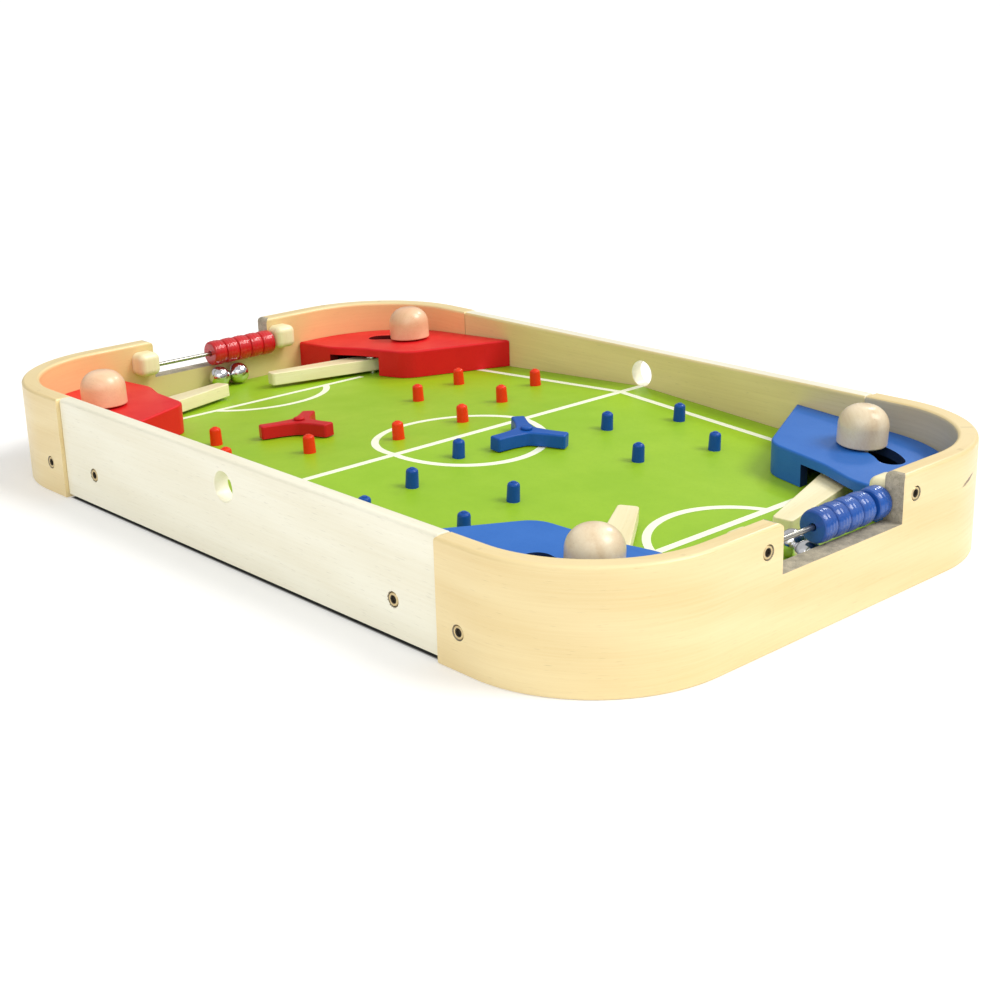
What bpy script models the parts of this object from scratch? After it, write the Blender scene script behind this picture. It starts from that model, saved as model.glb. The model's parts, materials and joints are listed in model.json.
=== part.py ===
"""Tabletop flipper football, modelled in metres with +Z up.

Origin: the middle of the footprint, on the surface that the game stands on.
+X runs to the blue goal, -X to the red goal; +Y is the rear side, -Y the front side.
The wooden frame is two bent end rails joined by two side boards. The pitch is two
thin panels that meet in a ridge across the middle and fall towards the goals.
A corner is described once, in "corner" coordinates (u, v) that grow towards its goal
end and its own side; the signs of its end and side turn (u, v) into (x, y).
"""
import math

import bmesh
import bpy
from mathutils import Matrix, Vector

# Frame
LENGTH = 0.520
WIDTH = 0.318
RIM_HEIGHT = 0.0585
WALL = 0.0105
CORNER_RADIUS = 0.0728
SEAM_X = 0.164
SIDE_BOARD_STEP = 0.002
SIDE_BOARD_FOOT = 0.002
EDGE_ROUND = 0.0018
GAP = 0.0003

# Goal notch in each end rail, throw-in hole in each side board
NOTCH_HALF_WIDTH = 0.0444
NOTCH_SILL = 0.0348
THROW_IN_RADIUS = 0.008
THROW_IN_HEIGHT = 0.043

# Pitch: height at the ridge, fall per metre towards each goal, panel thickness
RIDGE_HEIGHT = 0.0352
FALL = 0.0605
PANEL = 0.003
TILT = math.atan(FALL)

# Timber under the pitch
BEAM_WIDTH = 0.016
BLOCK_FOOT = 0.006
SPLICE_START = 0.121
SPLICE_END = 0.1865
SPLICE_DEPTH = 0.015

# Corner cover: heights, then plan corners as (u, v, rounding) from the side board to the end wall
COVER_HEIGHT = 0.018
COVER_ROOF = 0.0052
COVER_START_U = 0.119
COVER_BROW = [(0.150, 0.084, 0.016), (0.190, 0.0778, 0.030), (0.212, 0.070, 0.024)]
COVER_END_V = 0.070
COVER_END_ROUND = 0.001
CAVITY_CORNERS = [
    (0.1290, 0.1425, 0.003), (0.156, 0.0895, 0.011), (0.190, 0.0835, 0.020),
    (0.216, 0.0760, 0.010), (0.243, 0.0760, 0.003), (0.243, 0.1425, 0.056),
]
MOUTH_START = 0.174
MOUTH_END = 0.214
MOUTH_FRONT = 0.060
MOUTH_BACK = 0.095
SLOT_HALF_WIDTH = 0.0072

# Flipper: pivot, blade and knob, in corner coordinates at rest
PIVOT_U = 0.188
PIVOT_V = 0.086
KNOB_ARM = 0.0313
KNOB_REST_ANGLE = math.radians(97.3)
SWING = math.radians(49.6)
BLADE_ANGLE = math.radians(-75.2)
BLADE_OFFSET = 0.0043
BLADE_LENGTH = 0.0715
BLADE_TIP_HALF_WIDTH = 0.0053
BLADE_ROOT_HALF_WIDTH = 0.0092
TAIL_HALF_WIDTH = 0.0078
TAIL_LENGTH = 0.0385
TAIL_ROUND = 0.007
BLADE_ROOT_ROUND = 0.020
BLADE_TIP_ROUND = 0.0022
FLIPPER_CLEARANCE = 0.002
FLIPPER_THICKNESS = 0.008
PIN_RADIUS = 0.0025
PIN_HEAD_RADIUS = 0.0042
PIN_HEAD_HEIGHT = 0.0014
STEM_RADIUS = 0.004
KNOB_RADIUS = 0.01325
KNOB_HEIGHT = 0.0208
KNOB_BASE = 0.019
KNOB_ROUND = 0.0105
KNOB_FOOT_EASE = 0.0007

# Obstacles on the pitch
PEG_RADIUS = 0.0035
PEG_HEIGHT = 0.0105
PEG_DOME = 0.62
SEAT_DEPTH = 0.0026
PEG_OUTER = (0.1065, 0.092)
PEG_WING = (0.060, 0.1155)
PEG_INNER = (0.044, 0.072)
PEG_CENTRE = (0.0255, 0.024)
PEG_GOAL = (0.092, 0.046)
SPINNER_ARM = 0.0235
SPINNER_HALF_WIDTH = 0.004
SPINNER_WEB = 0.0085
SPINNER_WEB_OUT = 0.52
SPINNER_WEB_ACROSS = 0.62
SPINNER_FLANK = 0.55
SPINNER_TIP_EASE = 0.001
SPINNER_CLEARANCE = 0.0008
SPINNER_THICKNESS = 0.0074
SPINNER_PIN_RADIUS = 0.002
SPINNER_HEAD_RADIUS = 0.0033
SPINNER_HEAD_HEIGHT = 0.0018
RED_SPINNER = (-0.086, -0.048, math.radians(10.5))
BLUE_SPINNER = (0.032, 0.020, math.radians(28.6))

# Goal counter: rod, beads and the blocks that hold the rod
ROD_X = 0.247
ROD_HEIGHT = 0.0434
ROD_RADIUS = 0.0013
ROD_HALF_LENGTH = 0.0515
BLOCK_INNER = 0.0455
BLOCK_OUTER = 0.0605
BLOCK_FRONT = 0.2382
BLOCK_LOW = 0.0388
BLOCK_HIGH = 0.0535
BLOCK_ROUND = 0.002
BEAD_RADIUS = 0.00825
BEAD_LENGTH = 0.0094
BEAD_PITCH = 0.0096
BEAD_BARREL = [(0.72, 1.0), (0.92, 0.72), (1.0, 0.25)]
BEAD_COUNT = 5
BLUE_LAST_BEAD_GAP = 0.003

# Fasteners: height and place of the screw heads
SCREW_HEAD_RADIUS = 0.0034
SCREW_SHANK_RADIUS = 0.0016
SCREW_HEAD_DEPTH = 0.0024
SCREW_HEAD_RIM = 0.0006
SCREW_TAPER = 0.003
SOCKET_RADIUS = 0.0014
SOCKET_DEPTH = 0.0013
SCREW_SIDES = 10
SCREW_LENGTH = 0.020
BLOCK_SCREW_LENGTH = 0.017
SIDE_SCREW = (0.132, 0.0200)
RAIL_SCREW = (0.178, 0.0184)
BLOCK_SCREW = (0.0545, 0.0475)

# Steel balls
BALL_RADIUS = 0.007
BALL_PLACES = {
    "red_ball_1": (-0.2422, -0.0005),
    "red_ball_2": (-0.2422, 0.0142),
    "blue_ball_1": (0.2289, 0.0026),
    "blue_ball_2": (0.2422, -0.0030),
}

ENDS = {"red": -1, "blue": 1}
SIDES = {"front": -1, "rear": 1}
INNER_X = LENGTH / 2 - WALL
INNER_Y = WIDTH / 2 - WALL
BOARD_FACE_Y = WIDTH / 2 - SIDE_BOARD_STEP
FIT = GAP + 0.0001
ABOVE_RIM = RIM_HEIGHT * 1.2

COLOURS = {
    "end_rail": (0.90, 0.75, 0.47, 1.0),
    "side_board": (0.84, 0.77, 0.62, 1.0),
    "light_wood": (0.86, 0.71, 0.47, 1.0),
    "flipper_wood": (0.90, 0.81, 0.57, 1.0),
    "pitch": (0.33, 0.62, 0.05, 1.0),
    "red": (0.72, 0.02, 0.02, 1.0),
    "red_bead": (0.68, 0.01, 0.03, 1.0),
    "blue": (0.04, 0.16, 0.52, 1.0),
    "blue_bead": (0.03, 0.13, 0.55, 1.0),
    "steel": (0.62, 0.62, 0.64, 1.0),
    "brass": (0.62, 0.44, 0.18, 1.0),
}


# ---------------------------------------------------------------- materials

def finish(name, roughness=0.5, metallic=0.0):
    """A plain Principled material, made once for each colour name."""
    if name in bpy.data.materials:
        return bpy.data.materials[name]
    material = bpy.data.materials.new(name)
    material.use_nodes = True
    shader = material.node_tree.nodes["Principled BSDF"]
    shader.inputs["Base Color"].default_value = COLOURS[name]
    shader.inputs["Roughness"].default_value = roughness
    shader.inputs["Metallic"].default_value = metallic
    return material


# ---------------------------------------------------------------- shape helpers

def pitch_height(x):
    """Height of the pitch's surface at x."""
    return RIDGE_HEIGHT - FALL * abs(x)


def under_pitch(x, y):
    """Height of timber that carries the pitch panels, just below them."""
    return pitch_height(x) - PANEL - GAP


def arc(centre, radius, start, end, steps):
    """Points on an arc in the plan, ends included."""
    points = []
    for step in range(steps + 1):
        angle = start + (end - start) * step / steps
        points.append((centre[0] + radius * math.cos(angle), centre[1] + radius * math.sin(angle)))
    return points


def rounded(corners, step=math.radians(9)):
    """A closed outline from (x, y, radius) corners, each rounded by its radius."""
    outline = []
    count = len(corners)
    for index, (x, y, radius) in enumerate(corners):
        corner = Vector((x, y))
        before = (Vector(corners[index - 1][:2]) - corner).normalized()
        after = (Vector(corners[(index + 1) % count][:2]) - corner).normalized()
        if radius == 0:
            outline.append((x, y))
            continue
        half = before.angle(after) / 2
        reach = radius / math.tan(half)
        centre = corner + (before + after).normalized() * (radius / math.sin(half))
        first = corner + before * reach - centre
        last = corner + after * reach - centre
        turn = math.atan2(first.x * last.y - first.y * last.x, first.dot(last))
        begin = math.atan2(first.y, first.x)
        steps = max(2, round(abs(turn) / step))
        outline.extend(arc(centre, radius, begin, begin + turn, steps))
    return outline


def flipped(outline, end, side):
    """An outline in corner coordinates, turned into plan coordinates."""
    return [(end * u, side * v) for u, v in outline]


def prism(outline, low, high):
    """A closed prism over a plan outline; low and high are heights or functions of (x, y)."""
    bottom_of = low if callable(low) else lambda x, y: low
    top_of = high if callable(high) else lambda x, y: high
    bm = bmesh.new()
    bottom = [bm.verts.new((x, y, bottom_of(x, y))) for x, y in outline]
    top = [bm.verts.new((x, y, top_of(x, y))) for x, y in outline]
    bm.faces.new(bottom[::-1])
    bm.faces.new(top)
    for index in range(len(outline)):
        following = (index + 1) % len(outline)
        bm.faces.new((bottom[index], bottom[following], top[following], top[index]))
    bmesh.ops.recalc_face_normals(bm, faces=bm.faces)
    return bm


def turned(profile, segments=24, ring=False):
    """A solid turned about Z from (radius, height) points; ring closes the profile on itself."""
    bm = bmesh.new()
    rings = []
    for radius, height in profile:
        if radius == 0:
            rings.append([bm.verts.new((0, 0, height))])
            continue
        circle = arc((0, 0), radius, 0, math.tau, segments)[:-1]
        rings.append([bm.verts.new((x, y, height)) for x, y in circle])
    pairs = list(zip(rings, rings[1:]))
    if ring:
        pairs.append((rings[-1], rings[0]))
    for lower, upper in pairs:
        for index in range(segments):
            following = (index + 1) % segments
            corners = [lower[index % len(lower)], lower[following % len(lower)],
                       upper[following % len(upper)], upper[index % len(upper)]]
            bm.faces.new(list(dict.fromkeys(corners)))
    return bm


def merged(parts):
    """One mesh holding several separate solids, each given as (bmesh, matrix)."""
    whole = bmesh.new()
    for part, matrix in parts:
        part.transform(matrix)
        piece = bpy.data.meshes.new("piece")
        part.to_mesh(piece)
        part.free()
        whole.from_mesh(piece)
        bpy.data.meshes.remove(piece)
    return whole


def round_edges(bm, chosen, width, segments=2):
    """Round the edges that the chosen function picks."""
    edges = [edge for edge in bm.edges if chosen(edge)]
    bmesh.ops.bevel(bm, geom=edges, offset=width, segments=segments, profile=0.5, affect="EDGES")


def along(axis, sign=1):
    """Rotation that turns +Z into the signed X or Y axis."""
    if axis == "X":
        return Matrix.Rotation(sign * math.pi / 2, 4, "Y")
    return Matrix.Rotation(-sign * math.pi / 2, 4, "X")


# ---------------------------------------------------------------- object helpers

def add_object(name, bm, material, smooth=None):
    """Link a mesh object whose faces all point out."""
    bmesh.ops.recalc_face_normals(bm, faces=bm.faces)
    mesh = bpy.data.meshes.new(name)
    bm.to_mesh(mesh)
    bm.free()
    if material:
        mesh.materials.append(material)
    if smooth is not None:
        mesh.shade_smooth()
        mesh.set_sharp_from_angle(angle=math.radians(smooth))
    obj = bpy.data.objects.new(name, mesh)
    bpy.context.scene.collection.objects.link(obj)
    return obj


def add_empty(name, location, tilt=0.0, swing=0.0):
    """An empty that turns by swing about its own Z and then tilts about Y."""
    empty = bpy.data.objects.new(name, None)
    empty.empty_display_size = 0.02
    empty.location = location
    empty.rotation_mode = "ZXY"
    empty.rotation_euler = (0, tilt, swing)
    bpy.context.scene.collection.objects.link(empty)
    return empty


def combine(target, name, bm, operation):
    """Join a hidden solid to the target, or take it away."""
    helper = add_object(name, bm, None)
    helper.display_type = "WIRE"
    helper.hide_render = True
    helper.parent = target.parent
    modifier = target.modifiers.new(name, "BOOLEAN")
    modifier.operation = operation
    modifier.solver = "EXACT"
    modifier.object = helper


def cut(target, name, bm):
    """Cut a hidden solid out of the target."""
    combine(target, name, bm, "DIFFERENCE")


def screw(length):
    """A countersunk screw with a round socket, its head up at z = 0."""
    return turned([
        (0, -length),
        (SCREW_SHANK_RADIUS * 0.5, -length),
        (SCREW_SHANK_RADIUS, -length + SCREW_TAPER),
        (SCREW_SHANK_RADIUS, -SCREW_HEAD_DEPTH),
        (SCREW_HEAD_RADIUS, -SCREW_HEAD_RIM),
        (SCREW_HEAD_RADIUS, 0),
        (SOCKET_RADIUS, 0),
        (SOCKET_RADIUS, -SOCKET_DEPTH),
        (0, -SOCKET_DEPTH),
    ], SCREW_SIDES)


def screw_hole(length):
    """The hole for that screw, open at its head."""
    shank = SCREW_SHANK_RADIUS + GAP
    head = SCREW_HEAD_RADIUS + GAP
    above = SCREW_HEAD_RADIUS
    return turned([
        (0, -length - GAP),
        (shank, -length - GAP),
        (shank, -SCREW_HEAD_DEPTH - GAP),
        (head, -SCREW_HEAD_RIM - GAP),
        (head, above),
        (0, above),
    ], SCREW_SIDES)


def screw_places(end, side):
    """The two frame screws of a corner: the side board's and the end rail's, heads out."""
    places = []
    for (u, height), face in ((SIDE_SCREW, BOARD_FACE_Y), (RAIL_SCREW, WIDTH / 2)):
        place = Vector((end * u, side * (face - GAP), height))
        places.append(Matrix.Translation(place) @ along("Y", side))
    return places


def block_screw_place(end, side):
    """The screw that holds a rod block, driven in from outside the end rail."""
    place = Vector((end * (LENGTH / 2 - GAP), side * BLOCK_SCREW[0], BLOCK_SCREW[1]))
    return Matrix.Translation(place) @ along("X", end)


def pitch_matrix(x, y):
    """Frame that stands on the pitch at (x, y), with +Z square to its surface."""
    end = 1 if x > 0 else -1
    return Matrix.Translation((x, y, pitch_height(x))) @ Matrix.Rotation(end * TILT, 4, "Y")


# ---------------------------------------------------------------- frame

def end_rail(name, end):
    """Bent end rail: a U with a goal notch in the middle of its end."""
    inner_radius = CORNER_RADIUS - WALL
    outline = rounded([
        (LENGTH / 2, -WIDTH / 2, CORNER_RADIUS), (LENGTH / 2, WIDTH / 2, CORNER_RADIUS),
        (SEAM_X, WIDTH / 2, 0), (SEAM_X, INNER_Y, 0),
        (INNER_X, INNER_Y, inner_radius), (INNER_X, -INNER_Y, inner_radius),
        (SEAM_X, -INNER_Y, 0), (SEAM_X, -WIDTH / 2, 0),
    ], math.radians(9))
    bm = prism(flipped(outline, end, 1), 0, RIM_HEIGHT)
    round_edges(bm, lambda edge: all(v.co.z > RIM_HEIGHT / 2 for v in edge.verts), EDGE_ROUND)
    rail = add_object(name, bm, finish("end_rail"))
    notch = rounded([
        (-NOTCH_HALF_WIDTH, NOTCH_SILL, 0), (NOTCH_HALF_WIDTH, NOTCH_SILL, 0),
        (NOTCH_HALF_WIDTH, ABOVE_RIM, 0), (-NOTCH_HALF_WIDTH, ABOVE_RIM, 0),
    ])
    # The notch outline is (y, z); the matrix lays it across the end wall.
    across = Matrix(((0, 0, 1, 0), (1, 0, 0, 0), (0, 1, 0, 0), (0, 0, 0, 1)))
    low_x = min(end * (INNER_X - WALL), end * (LENGTH / 2 + WALL))
    solid = prism(notch, low_x, low_x + 3 * WALL)
    solid.transform(across)
    cut(rail, f"{name}_notch_cutter", solid)
    holes = [(screw_hole(SCREW_LENGTH), screw_places(end, side)[1]) for side in (-1, 1)]
    holes += [(screw_hole(BLOCK_SCREW_LENGTH), block_screw_place(end, side)) for side in (-1, 1)]
    cut(rail, f"{name}_screw_cutter", merged(holes))


def side_board(name, side):
    """Straight side board with a throw-in hole over the ridge of the pitch."""
    reach = SEAM_X - GAP
    near, far = sorted((side * INNER_Y, side * BOARD_FACE_Y))
    outline = [(-reach, near), (reach, near), (reach, far), (-reach, far)]
    bm = prism(outline, SIDE_BOARD_FOOT, RIM_HEIGHT)

    def long_top_edge(edge):
        first, second = (vert.co for vert in edge.verts)
        return min(first.z, second.z) > RIM_HEIGHT / 2 and abs(first.x - second.x) > reach

    round_edges(bm, long_top_edge, EDGE_ROUND)
    board = add_object(name, bm, finish("side_board"))
    bore = turned([(0, 0), (THROW_IN_RADIUS, 0), (THROW_IN_RADIUS, 3 * WALL), (0, 3 * WALL)], 28)
    start = Vector((0, side * (INNER_Y - WALL), THROW_IN_HEIGHT))
    holes = [(bore, Matrix.Translation(start) @ along("Y", side))]
    holes += [(screw_hole(SCREW_LENGTH), screw_places(end, side)[0]) for end in (-1, 1)]
    cut(board, f"{name}_hole_cutter", merged(holes))


def splice_block(name, end, side):
    """Timber inside a corner that ties its side board to its end rail."""
    outer = INNER_Y - GAP
    outline = flipped([
        (SPLICE_START, outer - SPLICE_DEPTH), (SPLICE_END, outer - SPLICE_DEPTH),
        (SPLICE_END, outer), (SPLICE_START, outer),
    ], end, side)
    block = add_object(name, prism(outline, BLOCK_FOOT, under_pitch), finish("light_wood"))
    holes = [(screw_hole(SCREW_LENGTH), place) for place in screw_places(end, side)]
    cut(block, f"{name}_cutter", merged(holes))


def ridge_beam():
    """Crosswise beam under the middle of the pitch, its top shaped to the two falls."""
    half = BEAM_WIDTH / 2
    low = BLOCK_FOOT
    side_top = under_pitch(half, 0)
    profile = [(-half, low), (half, low), (half, side_top), (0, under_pitch(0, 0)), (-half, side_top)]
    bm = prism(profile, -INNER_Y + GAP, INNER_Y - GAP)
    bm.transform(Matrix(((1, 0, 0, 0), (0, 0, 1, 0), (0, 1, 0, 0), (0, 0, 0, 1))))
    add_object("ridge_beam", bm, finish("light_wood"))


# ---------------------------------------------------------------- pitch

def peg_places(end):
    """Where one team's pegs stand; a spinner takes the place of one peg of each team."""
    pairs = [PEG_OUTER, PEG_WING, PEG_INNER, PEG_CENTRE, PEG_GOAL]
    places = [(end * x, side * y) for x, y in pairs for side in (-1, 1)]
    missing = (PEG_GOAL if end < 0 else PEG_CENTRE)
    places.remove((end * missing[0], end * missing[1]))
    return places


def pitch_panel(name, end):
    """One half of the pitch with its glued pegs, and holes for the spinner and flipper pins."""
    outer = INNER_X - FIT
    edge = INNER_Y - FIT
    corner = CORNER_RADIUS - WALL - FIT
    start = GAP / 2
    outline = flipped(rounded([
        (start, -edge, 0), (outer, -edge, corner), (outer, edge, corner), (start, edge, 0),
    ]), end, 1)
    bm = prism(outline, lambda x, y: pitch_height(x) - PANEL, lambda x, y: pitch_height(x))
    panel = add_object(name, bm, finish("pitch", 0.35))

    def hole(radius):
        radius += GAP
        return turned([(0, -2 * PANEL), (radius, -2 * PANEL), (radius, PANEL), (0, PANEL)], 12)

    spinner = RED_SPINNER if end < 0 else BLUE_SPINNER
    holes = [(hole(SPINNER_PIN_RADIUS), pitch_matrix(spinner[0], spinner[1]))]
    for side in (-1, 1):
        holes.append((hole(PIN_RADIUS), pitch_matrix(end * PIVOT_U, side * PIVOT_V)))
    cut(panel, f"{name}_cutter", merged(holes))
    pegs = merged([(peg(), pitch_matrix(x, y)) for x, y in peg_places(end)])
    combine(panel, f"{name}_pegs", pegs, "UNION")


def peg():
    """A domed dowel that reaches into the panel it is glued in."""
    dome = PEG_RADIUS * PEG_DOME
    rise = PEG_HEIGHT - dome
    return turned([
        (0, -PANEL / 2), (PEG_RADIUS, -PANEL / 2), (PEG_RADIUS, rise),
        (PEG_RADIUS * 0.86, rise + dome * 0.55), (PEG_RADIUS * 0.5, rise + dome * 0.9),
        (0, PEG_HEIGHT),
    ], 12)


def spinner_outline():
    """Three round-ended arms with hollow flanks, about the hub."""
    outline = []
    for arm in range(3):
        turn = Matrix.Rotation(arm * math.tau / 3, 2)
        half = [
            (SPINNER_ARM, SPINNER_HALF_WIDTH - SPINNER_TIP_EASE),
            (SPINNER_ARM - SPINNER_TIP_EASE, SPINNER_HALF_WIDTH),
            (SPINNER_ARM * SPINNER_FLANK, SPINNER_HALF_WIDTH),
            (SPINNER_WEB * SPINNER_WEB_OUT, SPINNER_WEB * SPINNER_WEB_ACROSS),
        ]
        shape = [(x, -y) for x, y in reversed(half)] + half
        outline.extend(tuple(turn @ Vector(point)) for point in shape)
    return outline


def spinner(name, place, material):
    """A three-armed blade that turns on a pin square to the pitch."""
    x, y, angle = place
    end = 1 if x > 0 else -1
    hub = add_empty(f"{name}_hub", (x, y, pitch_height(x)), end * TILT, angle)
    top = SPINNER_CLEARANCE + SPINNER_THICKNESS
    blade = add_object(name, prism(spinner_outline(), SPINNER_CLEARANCE, top), finish(material, 0.35))
    blade.parent = hub
    radius = SPINNER_PIN_RADIUS + GAP
    cut(blade, f"{name}_cutter", turned([(0, -top), (radius, -top), (radius, 2 * top), (0, 2 * top)], 16))


def spinner_pin(name, place):
    """The spinner's pin, seated in the pitch panel, with a low round head."""
    top = SPINNER_CLEARANCE + SPINNER_THICKNESS
    head = SPINNER_HEAD_RADIUS
    high = SPINNER_HEAD_HEIGHT
    bm = turned([
        (0, -SEAT_DEPTH), (SPINNER_PIN_RADIUS, -SEAT_DEPTH), (SPINNER_PIN_RADIUS, top + GAP),
        (head, top + GAP), (head, top + high * 0.5), (head * 0.6, top + high * 0.9), (0, top + high),
    ], 14)
    bm.transform(pitch_matrix(place[0], place[1]))
    add_object(name, bm, finish("steel", 0.3, 1.0), smooth=40)


# ---------------------------------------------------------------- corners

def cover(name, end, side, material):
    """Hollow corner cover: a mouth for the flipper and a curved slot for the knob's stem."""
    outer_u = INNER_X - FIT
    outer_v = INNER_Y - FIT
    outline = flipped(rounded([
        (COVER_START_U, outer_v, 0), *COVER_BROW, (outer_u, COVER_END_V, COVER_END_ROUND),
        (outer_u, outer_v, CORNER_RADIUS - WALL - FIT),
    ]), end, side)
    bm = prism(outline, lambda x, y: pitch_height(x) + GAP, lambda x, y: pitch_height(x) + COVER_HEIGHT)
    shell = add_object(name, bm, finish(material, 0.35))

    def ceiling(x, y):
        return pitch_height(x) + COVER_HEIGHT - COVER_ROOF

    cavity = flipped(rounded(CAVITY_CORNERS), end, side)
    cut(shell, f"{name}_cavity_cutter", prism(cavity, lambda x, y: pitch_height(x) - WALL, ceiling))
    mouth = flipped([
        (MOUTH_START, MOUTH_FRONT), (MOUTH_END, MOUTH_FRONT),
        (MOUTH_END, MOUTH_BACK), (MOUTH_START, MOUTH_BACK),
    ], end, side)
    cut(shell, f"{name}_mouth_cutter",
        prism(mouth, lambda x, y: pitch_height(x) - WALL, lambda x, y: ceiling(x, y) - GAP / 3))
    pivot = (PIVOT_U, PIVOT_V)
    rest = KNOB_REST_ANGLE
    kicked = rest - SWING
    far = KNOB_ARM + SLOT_HALF_WIDTH
    near = KNOB_ARM - SLOT_HALF_WIDTH
    rest_end = arc(pivot, KNOB_ARM, rest, rest, 1)[0]
    kicked_end = arc(pivot, KNOB_ARM, kicked, kicked, 1)[0]
    slot = arc(pivot, far, kicked, rest, 12)[:-1]
    slot += arc(rest_end, SLOT_HALF_WIDTH, rest, rest + math.pi, 8)[:-1]
    slot += arc(pivot, near, rest, kicked, 10)[:-1]
    slot += arc(kicked_end, SLOT_HALF_WIDTH, kicked + math.pi, kicked + math.tau, 8)[:-1]
    cut(shell, f"{name}_slot_cutter",
        prism(flipped(slot, end, side), pitch_height(outer_u), ABOVE_RIM))


def flipper_outline():
    """Straight tapered lever about its pivot, tip towards the goal mouth."""
    direction = Vector((math.cos(BLADE_ANGLE), math.sin(BLADE_ANGLE)))
    across = Vector((-direction.y, direction.x))
    corners = [
        (-TAIL_LENGTH, -TAIL_HALF_WIDTH, TAIL_ROUND),
        (0, -BLADE_ROOT_HALF_WIDTH, BLADE_ROOT_ROUND),
        (BLADE_LENGTH, -BLADE_TIP_HALF_WIDTH, BLADE_TIP_ROUND),
        (BLADE_LENGTH, BLADE_TIP_HALF_WIDTH, BLADE_TIP_ROUND),
        (0, BLADE_ROOT_HALF_WIDTH, BLADE_ROOT_ROUND),
        (-TAIL_LENGTH, TAIL_HALF_WIDTH, TAIL_ROUND),
    ]
    points = rounded(corners, math.radians(18))
    return [tuple(direction * t + across * (BLADE_OFFSET + w)) for t, w in points]


def flipper_set(prefix, end, side, kicked):
    """Flipper and knob of one corner on an empty at the pivot."""
    swing = -end * side * SWING if kicked else 0.0
    base = (end * PIVOT_U, side * PIVOT_V, pitch_height(PIVOT_U))
    pivot = add_empty(f"{prefix}_pivot", base, end * TILT, swing)
    top = FLIPPER_CLEARANCE + FLIPPER_THICKNESS
    lever_mesh = prism(flipped(flipper_outline(), end, side), FLIPPER_CLEARANCE, top)
    lever = add_object(f"{prefix}_flipper", lever_mesh, finish("flipper_wood"))
    lever.parent = pivot
    knob_u = KNOB_ARM * math.cos(KNOB_REST_ANGLE)
    knob_v = KNOB_ARM * math.sin(KNOB_REST_ANGLE)
    knob_place = Matrix.Translation((end * knob_u, side * knob_v, 0))

    def through(radius):
        return turned([(0, -top), (radius, -top), (radius, 2 * top), (0, 2 * top)], 16)

    holes = [(through(PIN_RADIUS + GAP), Matrix()), (through(STEM_RADIUS + GAP), knob_place)]
    cut(lever, f"{prefix}_flipper_cutter", merged(holes))
    knob_object = add_object(f"{prefix}_knob", knob(), finish("light_wood", 0.35), smooth=40)
    knob_object.parent = pivot
    knob_object.location = knob_place.translation


def knob():
    """A domed wooden knob, turned in one piece with the stem that is glued into the flipper."""
    foot = FLIPPER_CLEARANCE + GAP
    high = KNOB_BASE + KNOB_HEIGHT
    ease = KNOB_FOOT_EASE
    centre = (KNOB_RADIUS - KNOB_ROUND, high - KNOB_ROUND)
    dome = arc(centre, KNOB_ROUND, 0, math.pi / 2, 5)
    profile = [
        (0, foot), (STEM_RADIUS, foot), (STEM_RADIUS, KNOB_BASE),
        (KNOB_RADIUS - ease, KNOB_BASE), (KNOB_RADIUS, KNOB_BASE + ease), *dome, (0, high + GAP),
    ]
    return turned(profile, 24)


def flipper_pin(name, end, side):
    """Steel pivot pin, seated in the pitch panel, with a flat head over its flipper."""
    top = FLIPPER_CLEARANCE + FLIPPER_THICKNESS + GAP
    bm = turned([
        (0, -SEAT_DEPTH), (PIN_RADIUS, -SEAT_DEPTH), (PIN_RADIUS, top), (PIN_HEAD_RADIUS, top),
        (PIN_HEAD_RADIUS, top + PIN_HEAD_HEIGHT), (0, top + PIN_HEAD_HEIGHT),
    ], 12)
    bm.transform(pitch_matrix(end * PIVOT_U, side * PIVOT_V))
    add_object(name, bm, finish("steel", 0.3, 1.0), smooth=40)


# ---------------------------------------------------------------- goal counters

def rod_block(name, end, side):
    """Wooden block inside the end wall that holds one end of the counter rod."""
    front = end * BLOCK_FRONT
    back = end * (INNER_X - GAP)
    outline = [(front, side * BLOCK_INNER), (back, side * BLOCK_INNER),
               (back, side * BLOCK_OUTER), (front, side * BLOCK_OUTER)]
    bm = prism(outline, BLOCK_LOW, BLOCK_HIGH)
    middle = (BLOCK_FRONT + INNER_X) / 2
    round_edges(bm, lambda edge: all(end * v.co.x < middle for v in edge.verts), BLOCK_ROUND)
    block = add_object(name, bm, finish("light_wood"))
    radius = ROD_RADIUS + GAP
    depth = ROD_HALF_LENGTH + GAP
    start = BLOCK_INNER - WALL
    bore = turned([(0, start), (radius, start), (radius, depth), (0, depth)], 12)
    seat = Matrix.Translation((end * ROD_X, 0, ROD_HEIGHT)) @ along("Y", side)
    holes = [(bore, seat), (screw_hole(BLOCK_SCREW_LENGTH), block_screw_place(end, side))]
    cut(block, f"{name}_cutter", merged(holes))


def score_rod(name, end):
    """Thin steel rod that the beads slide on."""
    bm = turned([(0, -ROD_HALF_LENGTH), (ROD_RADIUS, -ROD_HALF_LENGTH),
                 (ROD_RADIUS, ROD_HALF_LENGTH), (0, ROD_HALF_LENGTH)], 12)
    bm.transform(Matrix.Translation((end * ROD_X, 0, ROD_HEIGHT)) @ along("Y"))
    add_object(name, bm, finish("steel", 0.25, 1.0), smooth=40)


def bead():
    """A barrel bead bored for the rod."""
    bore = ROD_RADIUS + GAP
    half = BEAD_LENGTH / 2
    lower = [(BEAD_RADIUS * out, -half * up) for out, up in BEAD_BARREL]
    upper = [(BEAD_RADIUS * out, half * up) for out, up in reversed(BEAD_BARREL)]
    return turned([(bore, -half), *lower, *upper, (bore, half)], 16, ring=True)


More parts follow.
